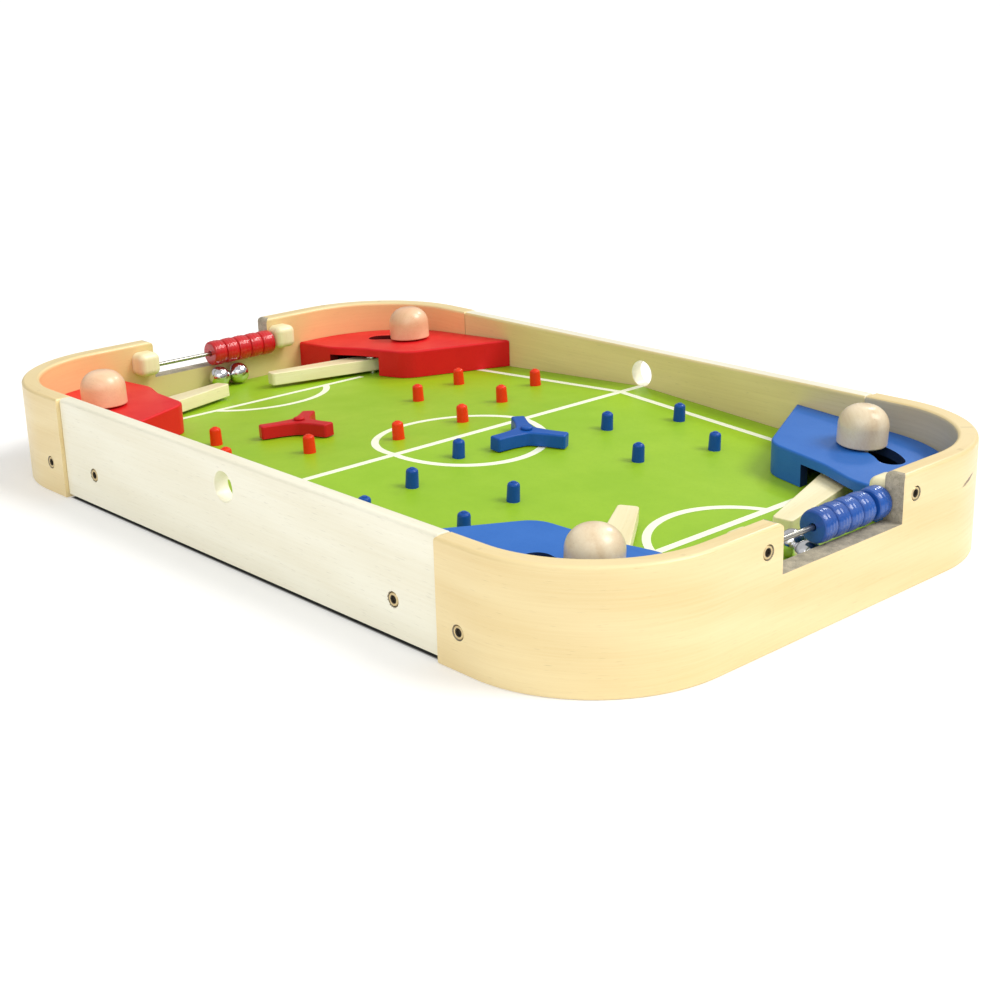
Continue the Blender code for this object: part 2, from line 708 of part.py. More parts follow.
def score_beads(team, end, last_gap):
    """Five beads pushed to the rear jamb of the notch; last_gap sets the rearmost one apart."""
    first_y = NOTCH_HALF_WIDTH - GAP - BEAD_LENGTH / 2
    for number in range(1, BEAD_COUNT + 1):
        steps = BEAD_COUNT - number
        y = first_y - steps * BEAD_PITCH - (last_gap if steps else 0)
        obj = add_object(f"{team}_score_bead_{number}", bead(), finish(f"{team}_bead", 0.4), smooth=40)
        obj.location = (end * ROD_X, y, ROD_HEIGHT)
        obj.rotation_euler = (-math.pi / 2, 0, 0)


# ---------------------------------------------------------------- fasteners and balls

def frame_screws(corner, end, side):
    """The two screws of a corner, through the side board and through the end rail."""
    for kind, place in zip(("board", "rail"), screw_places(end, side)):
        bm = screw(SCREW_LENGTH)
        bm.transform(place)
        add_object(f"{corner}_{kind}_screw", bm, finish("brass", 0.35, 1.0))


def ball(name, x, y):
    """A steel ball resting on the pitch."""
    bm = bmesh.new()
    bmesh.ops.create_uvsphere(bm, u_segments=16, v_segments=10, radius=BALL_RADIUS)
    obj = add_object(name, bm, finish("steel", 0.1, 1.0), smooth=60)
    obj.location = (x, y, pitch_height(x) + BALL_RADIUS / math.cos(TILT) + GAP)


# ---------------------------------------------------------------- assembly

def build():
    """The whole game."""
    for obj in list(bpy.data.objects):
        bpy.data.objects.remove(obj, do_unlink=True)
    for side_name, side in SIDES.items():
        side_board(f"{side_name}_side_board", side)
    ridge_beam()
    for team, end in ENDS.items():
        end_rail(f"{team}_end_rail", end)
        pitch_panel(f"{team}_pitch_panel", end)
        score_rod(f"{team}_score_rod", end)
        score_beads(team, end, BLUE_LAST_BEAD_GAP if team == "blue" else 0.0)
        for side_name, side in SIDES.items():
            corner = f"{team}_{side_name}"
            splice_block(f"{corner}_splice_block", end, side)
            cover(f"{corner}_cover", end, side, team)
            flipper_set(corner, end, side, kicked=(corner == "blue_front"))
            flipper_pin(f"{corner}_flipper_pin", end, side)
            rod_block(f"{corner}_rod_block", end, side)
            frame_screws(corner, end, side)
    for team, place in (("red", RED_SPINNER), ("blue", BLUE_SPINNER)):
        spinner(f"{team}_spinner", place, f"{team}_bead")
        spinner_pin(f"{team}_spinner_pin", place)
    for name, (x, y) in BALL_PLACES.items():
        ball(name, x, y)


build()
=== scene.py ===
import json
import math

import bmesh
import bpy
from mathutils import Matrix, Vector


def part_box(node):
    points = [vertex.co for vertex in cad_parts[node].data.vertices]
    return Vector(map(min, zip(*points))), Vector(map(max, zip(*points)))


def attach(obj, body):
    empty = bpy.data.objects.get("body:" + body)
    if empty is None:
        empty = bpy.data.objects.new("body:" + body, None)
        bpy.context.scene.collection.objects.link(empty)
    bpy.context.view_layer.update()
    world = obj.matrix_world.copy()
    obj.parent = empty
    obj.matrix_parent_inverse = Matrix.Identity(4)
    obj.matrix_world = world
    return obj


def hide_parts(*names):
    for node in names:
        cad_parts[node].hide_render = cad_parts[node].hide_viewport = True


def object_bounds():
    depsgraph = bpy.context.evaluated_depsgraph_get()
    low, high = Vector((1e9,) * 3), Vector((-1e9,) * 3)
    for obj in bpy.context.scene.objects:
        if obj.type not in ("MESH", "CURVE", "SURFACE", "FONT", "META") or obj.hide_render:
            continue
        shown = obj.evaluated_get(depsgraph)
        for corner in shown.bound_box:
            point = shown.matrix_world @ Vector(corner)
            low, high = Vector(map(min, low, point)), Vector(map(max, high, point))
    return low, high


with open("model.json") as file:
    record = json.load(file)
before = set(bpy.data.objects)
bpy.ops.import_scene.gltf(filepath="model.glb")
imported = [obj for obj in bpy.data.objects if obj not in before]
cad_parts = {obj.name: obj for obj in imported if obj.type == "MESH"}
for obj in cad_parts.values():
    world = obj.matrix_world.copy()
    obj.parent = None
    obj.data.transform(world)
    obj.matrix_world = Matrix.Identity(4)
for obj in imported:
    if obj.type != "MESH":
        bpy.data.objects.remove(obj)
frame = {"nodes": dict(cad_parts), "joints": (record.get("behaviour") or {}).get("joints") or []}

cad_low, cad_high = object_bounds()

# ---------------- sizes, read from the frame
LENGTH = cad_high.x - cad_low.x
WIDTH = cad_high.y - cad_low.y
RIM_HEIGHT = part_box("blue_end_rail")[1].z
SEAM_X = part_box("blue_end_rail")[0].x
INNER_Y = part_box("rear_side_board")[0].y
BOARD_FACE_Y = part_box("rear_side_board")[1].y
BOARD_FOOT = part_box("rear_side_board")[0].z
WALL = WIDTH / 2 - INNER_Y
INNER_X = LENGTH / 2 - WALL
CORNER_RADIUS = 0.0728
BEND_U = LENGTH / 2 - CORNER_RADIUS
BEND_V = WIDTH / 2 - CORNER_RADIUS
GAP = 0.0003
FIT = GAP + 0.0001
RIM_ROUND = 0.0020
SEAT_DEPTH = 0.0026

# Goal notch, throw-in hole
NOTCH_HALF_WIDTH = 0.0444
NOTCH_SILL = 0.0348
NOTCH_LIP = 0.0032
THROW_IN_RADIUS = 0.008
THROW_IN_HEIGHT = 0.043

# Pitch: height of the ridge, fall per metre towards each goal
RIDGE_HEIGHT = 0.0352
FALL = 0.0605
PANEL = 0.003
TILT = math.atan(FALL)

# Painted lines
LINE_WIDTH = 0.0043
LINE_HEIGHT = 0.00006
LINE_LIFT = 0.00001
TOUCH_LINE_Y = 0.1295
TOUCH_LINE_REACH = 0.133
CENTRE_CIRCLE = 0.048
GOAL_LINE_X = 0.1835
GOAL_LINE_REACH = 0.073
GOAL_AREA_RADIUS = 0.0473
GOAL_AREA_DEPTH = 0.0265

# Corner cover: corners are (u, v, rounding), from the side board to the goal end
COVER_HEIGHT = 0.018
COVER_ROOF = 0.0052
COVER_ROUND = 0.0014
COVER_START_U = 0.119
COVER_BROW = [(0.150, 0.084, 0.016), (0.190, 0.0778, 0.030), (0.212, 0.070, 0.024)]
COVER_END_V = 0.070
COVER_END_ROUND = 0.001
CAVITY_CORNERS = [
    (0.1290, 0.1425, 0.003), (0.156, 0.0895, 0.011), (0.190, 0.0835, 0.020),
    (0.216, 0.0760, 0.010), (0.243, 0.0760, 0.003), (0.243, 0.1425, 0.056),
]
MOUTH_START = 0.174
MOUTH_END = 0.214
MOUTH_FRONT = 0.060
MOUTH_BACK = 0.095
SLOT_HALF_WIDTH = 0.0072

# Flipper, in corner coordinates at rest
PIVOT = (0.188, 0.086)
KNOB_ARM = 0.0313
KNOB_REST_ANGLE = math.radians(97.3)
SWING = math.radians(49.6)
BLADE_ANGLE = math.radians(-75.2)
BLADE_OFFSET = 0.0043
BLADE_LENGTH = 0.0715
BLADE_TIP_HALF_WIDTH = 0.0053
BLADE_ROOT_HALF_WIDTH = 0.0092
TAIL_HALF_WIDTH = 0.0078
TAIL_LENGTH = 0.0385
TAIL_ROUND = 0.007
BLADE_ROOT_ROUND = 0.020
BLADE_TIP_ROUND = 0.0022
LEVER_EDGE_ROUND = 0.0006
FLIPPER_CLEARANCE = 0.002
FLIPPER_THICKNESS = 0.008
PIN_RADIUS = 0.0025
PIN_HEAD_RADIUS = 0.0042
PIN_HEAD_HEIGHT = 0.0017
STEM_RADIUS = 0.004
KNOB_RADIUS = 0.01325
KNOB_HEIGHT = 0.0208
KNOB_BASE = 0.019
KNOB_ROUND = 0.0108
KNOB_FOOT_EASE = 0.0009

# Pegs and spinners
PEG_RADIUS = 0.0035
PEG_HEIGHT = 0.0105
PEG_CROWN = 0.0018
PEG_TAPER = 0.93
PEG_PAIRS = [(0.1065, 0.092), (0.060, 0.1155), (0.044, 0.072), (0.0255, 0.024), (0.092, 0.046)]
PEG_LEFT_OUT = {"red": (-0.092, -0.046), "blue": (0.0255, 0.024)}
SPINNER_EDGE_ROUND = 0.0011
SPINNER_CLEARANCE = 0.0008
SPINNER_THICKNESS = 0.0074
SPINNER_ANGLE = {"red": math.radians(10.5), "blue": math.radians(28.6)}
SPINNER_PIN_RADIUS = 0.002
SPINNER_HEAD_RADIUS = 0.0033
SPINNER_HEAD_EDGE = 0.0007
SPINNER_HEAD_HEIGHT = 0.0018
SPINNER_HEAD_ROUND = 0.0009
# One side of a spinner's arm, hub to tip: corners are (along, across, rounding)
SPINNER_HALF_ARM = [(0.00442, 0.00527, 0.006), (0.012925, 0.004, 0.020), (0.0235, 0.004, 0.0014)]

# Goal counter
ROD_RADIUS = 0.0013
ROD_TIP_EASE = 0.0003
BLOCK_ROUND = 0.0042
BEAD_RADIUS = 0.00825
BEAD_FILLET = 0.0013
BEAD_SHY = 0.00035
BEAD_SWELL = 0.00025
BEAD_RIB = 0.00010
BEAD_MOUTH_EASE = 0.0005

# Screws
HEAD_RADIUS = 0.0034
THREAD_RADIUS = 0.0016
THREAD_CORE = THREAD_RADIUS * 0.8
THREAD_TURNS = 9
SHANK_HOLE_RADIUS = 0.0019
SOCKET_RIM = 0.0021
SOCKET_RADIUS = 0.0019
SOCKET_DEPTH = 0.0018
SCREW_LENGTH = 0.020
BLOCK_SCREW_LENGTH = 0.017
SIDE_SCREW = (0.132, 0.0200)
RAIL_SCREW = (0.178, 0.0184)
BLOCK_SCREW = (0.0545, 0.0475)

# Wood figure: cycles per metre along, across and through the fibres
BAND_STRETCH = (0.10, 1.0, 0.45)
FIBRES = (14, 760, 760)
HAIRS = (55, 3000, 3000)
TONES = (9, 34, 34)
PORES = (150, 2100, 2100)
PAINTED_FIBRES = (700, 1900, 1900)

# A dark streak in the rails' wood: run along the strip, depth, height; then its shape
KNOT = (0.101, 0.0, 0.0425)
KNOT_REACH = 0.0075
KNOT_DEPTH = 1 / 60
KNOT_HALF_HEIGHT = 0.0011
KNOT_LEAN = math.radians(16)

# Camera
CAMERA_PLACE = (0.6621, -0.5716, 0.2917)
CAMERA_AZIMUTH = math.radians(47.817)
CAMERA_ELEVATION = math.radians(18.633)
CAMERA_ROLL = math.radians(-1.468)
FOCAL_LENGTH = 58.62

ENDS = {"red": -1, "blue": 1}
SIDES = {"front": -1, "rear": 1}


# ---------------- node helpers

def new_material(name, source="object"):
    """A Principled material: itself, its shader and its pattern's place.

    The place is the "grain" attribute or the object's own space."""
    made = bpy.data.materials.new(name)
    made.use_nodes = True
    tree = made.node_tree
    if source == "grain":
        place = node(tree, "Attribute", attribute_name="grain").outputs["Vector"]
    else:
        place = node(tree, "TexCoord").outputs["Object"]
    return made, tree.nodes["Principled BSDF"], place


def feed(target, inputs):
    """Set a node's inputs; each is a plain value or another node's output socket."""
    for key, value in inputs.items():
        if isinstance(value, bpy.types.NodeSocket):
            target.id_data.links.new(value, target.inputs[key])
        else:
            target.inputs[key].default_value = value


def node(tree, kind, inputs=None, **settings):
    """Add a node with its settings and inputs."""
    made = tree.nodes.new("ShaderNode" + kind)
    for key, value in settings.items():
        setattr(made, key, value)
    feed(made, inputs or {})
    return made


# The helpers below add their node to the tree of the socket that they work on.

def mapped(place, **change):
    """A place scaled by Scale or turned by Rotation."""
    return node(place.id_data, "Mapping", {"Vector": place, **change}).outputs["Vector"]


def axes_of(place):
    """The X, Y and Z of a place, by name."""
    return node(place.id_data, "SeparateXYZ", {"Vector": place}).outputs


def noise(place, scale, detail=3.0, roughness=0.55):
    """Noise of about 1 / scale metres; scale may differ along X, Y and Z."""
    stretch = scale if isinstance(scale, tuple) else (scale, scale, scale)
    made = node(place.id_data, "TexNoise", {
        "Vector": mapped(place, Scale=stretch), "Scale": 1.0, "Detail": detail, "Roughness": roughness})
    return made.outputs["Fac"]


def maths(operation, first, second=0.0):
    """One arithmetic step on a socket and a second number or socket."""
    return node(first.id_data, "Math", {0: first, 1: second}, operation=operation).outputs["Value"]


def spread(value, low, high, to_low=0.0, to_high=1.0):
    """Stretch a value from low..high to to_low..to_high, held within them."""
    made = node(value.id_data, "MapRange", {
        "Value": value, "From Min": low, "From Max": high, "To Min": to_low, "To Max": to_high})
    return made.outputs["Result"]


def blend(factor, first, second):
    """Mix two colours, each a socket or a linear (red, green, blue)."""
    first, second = ((*part, 1.0) if isinstance(part, tuple) else part for part in (first, second))
    made = node(factor.id_data, "Mix", {0: factor, 6: first, 7: second}, data_type="RGBA")
    return made.outputs[2]


def bump(height, strength, distance):
    """The normal of a surface with this height."""
    made = node(height.id_data, "Bump", {"Height": height, "Strength": strength, "Distance": distance})
    return made.outputs["Normal"]


# ---------------- materials

def wood(name, pale, deep, roughness=0.4, coat=0.25, figure=0.35, source="grain", turn=None,
         middle=None, knot=None):
    """Lacquered pale wood: growth bands, long fibres, short pores and a slow drift of tone.

    Figure is the bands' strength. A middle colour takes over in the stretch of a rail behind the goal;
    on the red end's inner wall this is painted light, with less of the painted red bounce there. Knot
    is the place in the wood of one dark streak."""
    made, shader, place = new_material(name, source)
    if turn:
        place = mapped(place, Rotation=turn)
    bands = node(place.id_data, "TexWave", {
        "Vector": mapped(place, Scale=BAND_STRETCH), "Scale": 42.0, "Distortion": 5.0, "Detail": 3.0,
        "Detail Scale": 1.2, "Detail Roughness": 0.6}, bands_direction="DIAGONAL").outputs["Fac"]
    fibre = noise(place, FIBRES, 4.0)
    hair = noise(place, HAIRS, 2.0)
    drift = noise(place, TONES, 2.0)
    pores = spread(noise(place, PORES, 1.0), 0.66, 0.76)
    shade = maths("MULTIPLY", bands, figure)
    shade = maths("ADD", shade, spread(fibre, 0.30, 0.75, 0.0, 0.34))
    shade = maths("ADD", shade, spread(hair, 0.35, 0.75, 0.0, 0.14))
    shade = maths("ADD", shade, spread(drift, 0.32, 0.70, -0.10, 0.22))
    colour = blend(spread(shade, 0.0, 1.0), pale, deep)
    # Middle colour: less painted red bounce light behind the goal, away from the red covers.
    if middle:
        run = axes_of(place)["X"]
        share = spread(maths("ABSOLUTE", run), 0.035, 0.085, 1.0, 0.0)
        colour = blend(share, colour, middle)
    flecked = tuple(0.62 * part for part in deep)
    colour = blend(maths("MULTIPLY", pores, 0.30), colour, flecked)
    if knot:
        ragged = maths("ADD", from_knot(place, knot), spread(hair, 0.3, 0.7, -0.25, 0.25))
        colour = blend(spread(ragged, 0.55, 1.0, 0.9, 0.0), colour, (0.17, 0.085, 0.03))
    relief = maths("SUBTRACT", maths("ADD", fibre, maths("MULTIPLY", hair, 0.5)), pores)
    feed(shader, {
        "Base Color": colour,
        "Roughness": spread(fibre, 0.3, 0.75, roughness - 0.05, roughness + 0.08),
        "Coat Weight": coat,
        "Coat Roughness": 0.22,
        "Normal": bump(relief, 0.10, 0.0004),
    })
    return made


def from_knot(place, knot):
    """How far a place is from the knot's middle, 1 at the edge of the knot."""
    tree = place.id_data
    away = node(tree, "VectorMath", {0: place, 1: knot}, operation="SUBTRACT").outputs["Vector"]
    leaning = mapped(away, Rotation=(0, KNOT_LEAN, 0))
    shrunk = mapped(leaning, Scale=(1 / KNOT_REACH, 1 / KNOT_DEPTH, 1 / KNOT_HALF_HEIGHT))
    return node(tree, "VectorMath", {0: shrunk}, operation="LENGTH").outputs["Value"]


def raw_board_and_shade(name):
    """Sawn core where a cut goes through the lacquer: mottled grey-beige with dark specks, darkened
    further as painted shade for the beads' shadow on the goal sill.
    """
    made, shader, place = new_material(name)
    patches = noise(place, 210, 4.0, 0.7)
    grit = noise(place, 1500, 3.0, 0.7)
    colour = blend(spread(patches, 0.38, 0.66), (0.52, 0.46, 0.34), (0.31, 0.28, 0.21))
    colour = blend(spread(grit, 0.56, 0.70, 0.0, 0.7), colour, (0.13, 0.11, 0.08))
    feed(shader, {"Base Color": colour, "Roughness": 0.72, "Normal": bump(grit, 0.35, 0.0004)})
    return made


def paint(name, colour, deep, roughness=0.42, coat=0.03, grain=False, gloss=0.16):
    """Sprayed lacquer: a fine orange peel and a slow change of depth; grain shows wood under it."""
    made, shader, place = new_material(name)
    drift = noise(place, 26, 3.0)
    speckle = noise(place, 900, 2.0)
    slow = spread(drift, 0.30, 0.70, 0.0, 0.75)
    shade = maths("ADD", slow, spread(speckle, 0.4, 0.7, 0.0, 0.25))
    relief = noise(place, PAINTED_FIBRES if grain else 620, 4.0, 0.7)
    feed(shader, {
        "Base Color": blend(shade, colour, deep),
        "Roughness": spread(drift, 0.3, 0.7, roughness - 0.05, roughness + 0.07),
        "Specular IOR Level": 0.24,
        "Coat Weight": coat,
        "Coat Roughness": gloss,
        "Normal": bump(relief, 0.45 if grain else 0.06, 0.0003),
    })
    return made


def pitch_print():
    """Grass-green printed board with faint mottling under a satin varnish."""
    made, shader, place = new_material("pitch_print")
    drift = noise(place, 17, 3.0, 0.6)
    blades = noise(place, 420, 4.0, 0.7)
    colour = blend(spread(drift, 0.34, 0.68), (0.335, 0.570, 0.010), (0.278, 0.508, 0.007))
    colour = blend(spread(blades, 0.45, 0.75, 0.0, 0.30), colour, (0.22, 0.45, 0.006))
    feed(shader, {
        "Base Color": colour,
        "Roughness": spread(drift, 0.3, 0.7, 0.36, 0.50),
        "Specular IOR Level": 0.35,
        "Coat Weight": 0.08,
        "Coat Roughness": 0.2,
        "Normal": bump(blades, 0.05, 0.0002),
    })
    return made


def line_print():
    """White print, a little thin where the green shows through."""
    made, shader, place = new_material("line_print")
    thin = spread(noise(place, 700, 4.0, 0.7), 0.60, 0.80, 0.0, 0.35)
    colour = blend(thin, (0.93, 0.95, 0.76), (0.66, 0.80, 0.42))
    feed(shader, {"Base Color": colour, "Roughness": 0.5})
    return made


def metal(name, colour, roughness, scratch):
    """Bare metal with fine scratches and a little haze."""
    made, shader, place = new_material(name)
    haze = noise(place, 240, 3.0)
    marks = noise(place, (900, 5200, 900), 3.0, 0.7)
    dull = tuple(part * 0.78 for part in colour)
    feed(shader, {
        "Base Color": blend(spread(haze, 0.35, 0.7, 0.0, 0.5), colour, dull),
        "Roughness": spread(haze, 0.3, 0.7, roughness, roughness + 0.10),
        "Metallic": 1.0,
        "Normal": bump(marks, scratch, 0.0002),
    })
    return made


def socket_painted_shade():
    """Painted shade inside a screw's socket: near black and a little metallic."""
    made, shader, place = new_material("screw_socket_painted_shade")
    soot = noise(place, 1400, 3.0)
    colour = blend(soot, (0.03, 0.025, 0.02), (0.10, 0.08, 0.05))
    feed(shader, {"Base Color": colour, "Roughness": 0.6, "Metallic": 0.4})
    return made


def floor_paint():
    """Seamless pale studio floor that glows a little; under the game it is painted near black and does
    not glow, as painted shade.
    """
    made, shader, place = new_material("studio_floor")
    axes = axes_of(place)
    past_seam = maths("SUBTRACT", maths("ABSOLUTE", axes["X"]), SEAM_X)
    past_board = maths("SUBTRACT", maths("ABSOLUTE", axes["Y"]), BOARD_FACE_Y)
    beyond_painted_shade = spread(maths("MAXIMUM", past_seam, past_board), -0.0015, 0.0)
    pale = blend(noise(place, 3.0, 2.0), (0.86, 0.86, 0.86), (0.84, 0.84, 0.84))
    # Under the game the floor is painted shade: near black base colour and no glow.
    feed(shader, {
        "Base Color": blend(beyond_painted_shade, (0.05, 0.05, 0.05), pale),
        "Roughness": 0.9,
        "Emission Color": blend(beyond_painted_shade, (0.0, 0.0, 0.0), (1.0, 1.0, 1.0)),
        "Emission Strength": 0.20,
    })
    return made


RAIL_WOOD = wood("rail_wood", (0.890, 0.735, 0.405), (0.780, 0.590, 0.265), knot=KNOT)
BOARD_WOOD = wood("board_wood", (0.945, 0.920, 0.760), (0.850, 0.800, 0.610))
# Inner faces get their own wood as painted light: the side boards' and the blue end's are painted
# shade, darker than the outside; the red end's is painted orange bounce light from the red covers.
INNER_WOOD_PAINTED_LIGHT = {
    "board": wood("board_inner_painted_shade", (0.900, 0.745, 0.375), (0.750, 0.600, 0.265)),
    "red": wood("red_end_inner_painted_bounce", (0.970, 0.650, 0.310), (0.880, 0.530, 0.240),
                middle=(0.760, 0.620, 0.300)),
    "blue": wood("blue_end_inner_painted_shade", (0.640, 0.570, 0.400), (0.500, 0.430, 0.280)),
}
# The red knobs' orange wood is painted bounce light from the red covers.
KNOB_WOOD_AND_BOUNCE = {
    "red": wood("red_knob_wood_painted_bounce", (0.930, 0.640, 0.410), (0.800, 0.470, 0.270), 0.34, 0.3, 0.45),
    "blue": wood("blue_knob_wood", (0.910, 0.790, 0.570), (0.730, 0.555, 0.340), 0.34, 0.3, 0.50),
}
LEVER_WOOD = wood("lever_wood", (0.950, 0.880, 0.580), (0.810, 0.700, 0.380))
SAWN = ((0.720, 0.570, 0.360), (0.480, 0.340, 0.190), 0.6, 0.0, 0.6, "object")
HIDDEN_WOOD = wood("hidden_wood", *SAWN)
HIDDEN_CROSS_WOOD = wood("hidden_cross_wood", *SAWN, turn=(0, 0, math.pi / 2))
# Cut faces, the goal sill among them, are darker by painted shade as well as by the sawn core's own
# colour.
RAW_AND_SHADE = raw_board_and_shade("raw_board_and_shade")
UNDER_BOARD = raw_board_and_shade("pitch_underside")
GREEN = pitch_print()
WHITE = line_print()
STEEL = metal("polished_steel", (0.78, 0.78, 0.80), 0.06, 0.03)
PIN_STEEL = metal("pin_steel", (0.66, 0.66, 0.67), 0.22, 0.10)
ROD_STEEL = metal("rod_steel", (0.46, 0.45, 0.40), 0.25, 0.10)
SCREW = metal("screw_metal", (0.66, 0.52, 0.28), 0.28, 0.12)
# SOCKET is the painted shade inside each screw's socket.
SOCKET = socket_painted_shade()
PAINT = {name: paint(name, *look) for name, look in {
    "red_cover_paint": ((0.79, 0.011, 0.016), (0.67, 0.006, 0.010)),
    "blue_cover_paint": ((0.030, 0.165, 0.560), (0.018, 0.128, 0.480)),
    # Cover insides are painted shade: the team colour darkened almost to black.
    "red_cover_inside": ((0.20, 0.006, 0.006), (0.12, 0.003, 0.003), 0.7, 0.0),
    "blue_cover_inside": ((0.010, 0.035, 0.130), (0.005, 0.018, 0.080), 0.7, 0.0),
    "red_peg_paint": ((0.90, 0.042, 0.002), (0.74, 0.026, 0.001), 0.40, 0.14, True, 0.08),
    "blue_peg_paint": ((0.002, 0.080, 0.400), (0.001, 0.054, 0.300), 0.42, 0.16, True, 0.08),
    "red_spinner_paint": ((0.62, 0.009, 0.014), (0.49, 0.005, 0.009), 0.42, 0.04),
    "blue_spinner_paint": ((0.006, 0.098, 0.430), (0.003, 0.066, 0.330), 0.42, 0.04),
    "red_bead_paint": ((0.66, 0.005, 0.010), (0.42, 0.002, 0.005), 0.42, 0.8, True, 0.06),
    "blue_bead_paint": ((0.014, 0.110, 0.470), (0.007, 0.060, 0.300), 0.42, 0.8, True, 0.06),
}.items()}


# ---------------- shape helpers

def pitch_height(x):
    """Height of the pitch's surface at x."""
    return RIDGE_HEIGHT - FALL * abs(x)


def pitch_matrix(x, y):
    """Frame that stands on the pitch at (x, y), with +Z square to its surface."""
    end = 1 if x > 0 else -1
    return Matrix.Translation((x, y, pitch_height(x))) @ Matrix.Rotation(end * TILT, 4, "Y")


def arc(centre, radius, start, end, steps):
    """Points on an arc in the plan, ends included."""
    points = []
    for step in range(steps + 1):
        angle = start + (end - start) * step / steps
        points.append((centre[0] + radius * math.cos(angle), centre[1] + radius * math.sin(angle)))
    return points


def rounded(corners, step=math.radians(4)):
    """A closed outline from (x, y, radius) corners, each rounded by its radius."""
    outline = []
    count = len(corners)
    for index, (x, y, radius) in enumerate(corners):
        if radius == 0:
            outline.append((x, y))
            continue
        corner = Vector((x, y))
        before = (Vector(corners[index - 1][:2]) - corner).normalized()
        after = (Vector(corners[(index + 1) % count][:2]) - corner).normalized()
        half = before.angle(after) / 2
        reach = radius / math.tan(half)
        centre = corner + (before + after).normalized() * (radius / math.sin(half))
        first = corner + before * reach - centre
        last = corner + after * reach - centre
        turn = math.atan2(first.x * last.y - first.y * last.x, first.dot(last))
        begin = math.atan2(first.y, first.x)
        outline.extend(arc(centre, radius, begin, begin + turn, max(3, round(abs(turn) / step))))
    return outline


def flipped(outline, end, side):
    """An outline in corner coordinates, turned into plan coordinates."""
    return [(end * u, side * v) for u, v in outline]


def prism(outline, low, high):
    """A closed prism over a plan outline; low and high are heights or functions of (x, y)."""
    bottom_of = low if callable(low) else lambda x, y: low
    top_of = high if callable(high) else lambda x, y: high
    bm = bmesh.new()
    bottom = [bm.verts.new((x, y, bottom_of(x, y))) for x, y in outline]
    top = [bm.verts.new((x, y, top_of(x, y))) for x, y in outline]
    bm.faces.new(bottom[::-1])
    bm.faces.new(top)
    for index in range(len(outline)):
        following = (index + 1) % len(outline)
        bm.faces.new((bottom[index], bottom[following], top[following], top[index]))
    bmesh.ops.recalc_face_normals(bm, faces=bm.faces)
    return bm


def turned(profile, segments=48, shape_of=None, ring=False):
    """A solid turned about Z from (radius, height) points; shape_of may vary a ring's radius."""
    bm = bmesh.new()
    rings = []
    for number, (radius, height) in enumerate(profile):
        if radius == 0:
            rings.append([bm.verts.new((0, 0, height))])
            continue
        circle = []
        for index in range(segments):
            angle = math.tau * index / segments
            reach = radius * (shape_of(number, angle) if shape_of else 1.0)
            circle.append(bm.verts.new((reach * math.cos(angle), reach * math.sin(angle), height)))
        rings.append(circle)
    pairs = list(zip(rings, rings[1:]))
    if ring:
        pairs.append((rings[-1], rings[0]))
    for lower, upper in pairs:
        for index in range(segments):
            following = (index + 1) % segments
            corners = [lower[index % len(lower)], lower[following % len(lower)],
                       upper[following % len(upper)], upper[index % len(upper)]]
            bm.faces.new(list(dict.fromkeys(corners)))
    bmesh.ops.recalc_face_normals(bm, faces=bm.faces)
    return bm


def bar(radius, low, high, segments=36):
    """A plain round bar along Z, from low to high."""
    return turned([(0, low), (radius, low), (radius, high), (0, high)], segments)


def mirrored(half):
    """Corners of an outline that is the same above and below its X axis, from one half."""
    return [(x, -y, radius) for x, y, radius in half] + half[::-1]


def centre_of(name):
    """The middle of a node's box."""
    low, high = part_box(name)
    return (low + high) / 2


def merged(parts):
    """One mesh holding several separate solids, each given as (bmesh, matrix)."""
    whole = bmesh.new()
    for part, matrix in parts:
        part.transform(matrix)
        piece = bpy.data.meshes.new("piece")
        part.to_mesh(piece)
        part.free()
        whole.from_mesh(piece)
        bpy.data.meshes.remove(piece)
    return whole


def round_edges(bm, chosen, width, segments=4):
    """Round the edges that the chosen function picks."""
    edges = [edge for edge in bm.edges if chosen(edge)]
    bmesh.ops.bevel(bm, geom=edges, offset=width, segments=segments, profile=0.5, affect="EDGES")


def above(height):
    """Picks the edges that lie wholly above a height."""
    return lambda edge: all(vert.co.z > height for vert in edge.verts)


def sharp_edge(edge):
    """True where two faces meet at more than 40 degrees."""
    return len(edge.link_faces) == 2 and edge.calc_face_angle() > math.radians(40)


def along(axis, sign=1):
    """Rotation that turns +Z into the signed X or Y axis."""
    if axis == "X":
        return Matrix.Rotation(sign * math.pi / 2, 4, "Y")
    return Matrix.Rotation(-sign * math.pi / 2, 4, "X")


def link(name, data):
    """A new object in the scene."""
    obj = bpy.data.objects.new(name, data)
    bpy.context.scene.collection.objects.link(obj)
    return obj


def mesh_of(name, bm, materials):
    """The bmesh as a mesh with its materials; the bmesh is freed."""
    mesh = bpy.data.meshes.new(name)
    bmesh.ops.recalc_face_normals(bm, faces=bm.faces)
    bm.to_mesh(mesh)
    bm.free()
    for finish in materials:
        mesh.materials.append(finish)
    return mesh


def add_piece(name, bm, materials, body, replaces=(), shade=None):
    """Link a mesh object, say what it rides on and what it stands for; shade is smooth's angle."""
    obj = link(name, mesh_of(name, bm, materials))
    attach(obj, body)
    if replaces:
        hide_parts(*replaces)
    if shade:
        smooth(obj, shade)
    return obj


def carve(obj, bm, index=0):
    """Cut a solid out of the object for good; the cut faces take the material at index."""
    for face in bm.faces:
        face.material_index = index
    mesh = mesh_of("cutter", bm, obj.data.materials)
    cutter = link("cutter", mesh)
    modifier = obj.modifiers.new("carve", "BOOLEAN")
    modifier.operation = "DIFFERENCE"
    modifier.solver = "EXACT"
    modifier.object = cutter
    settle(obj)
    bpy.data.objects.remove(cutter, do_unlink=True)
    bpy.data.meshes.remove(mesh)


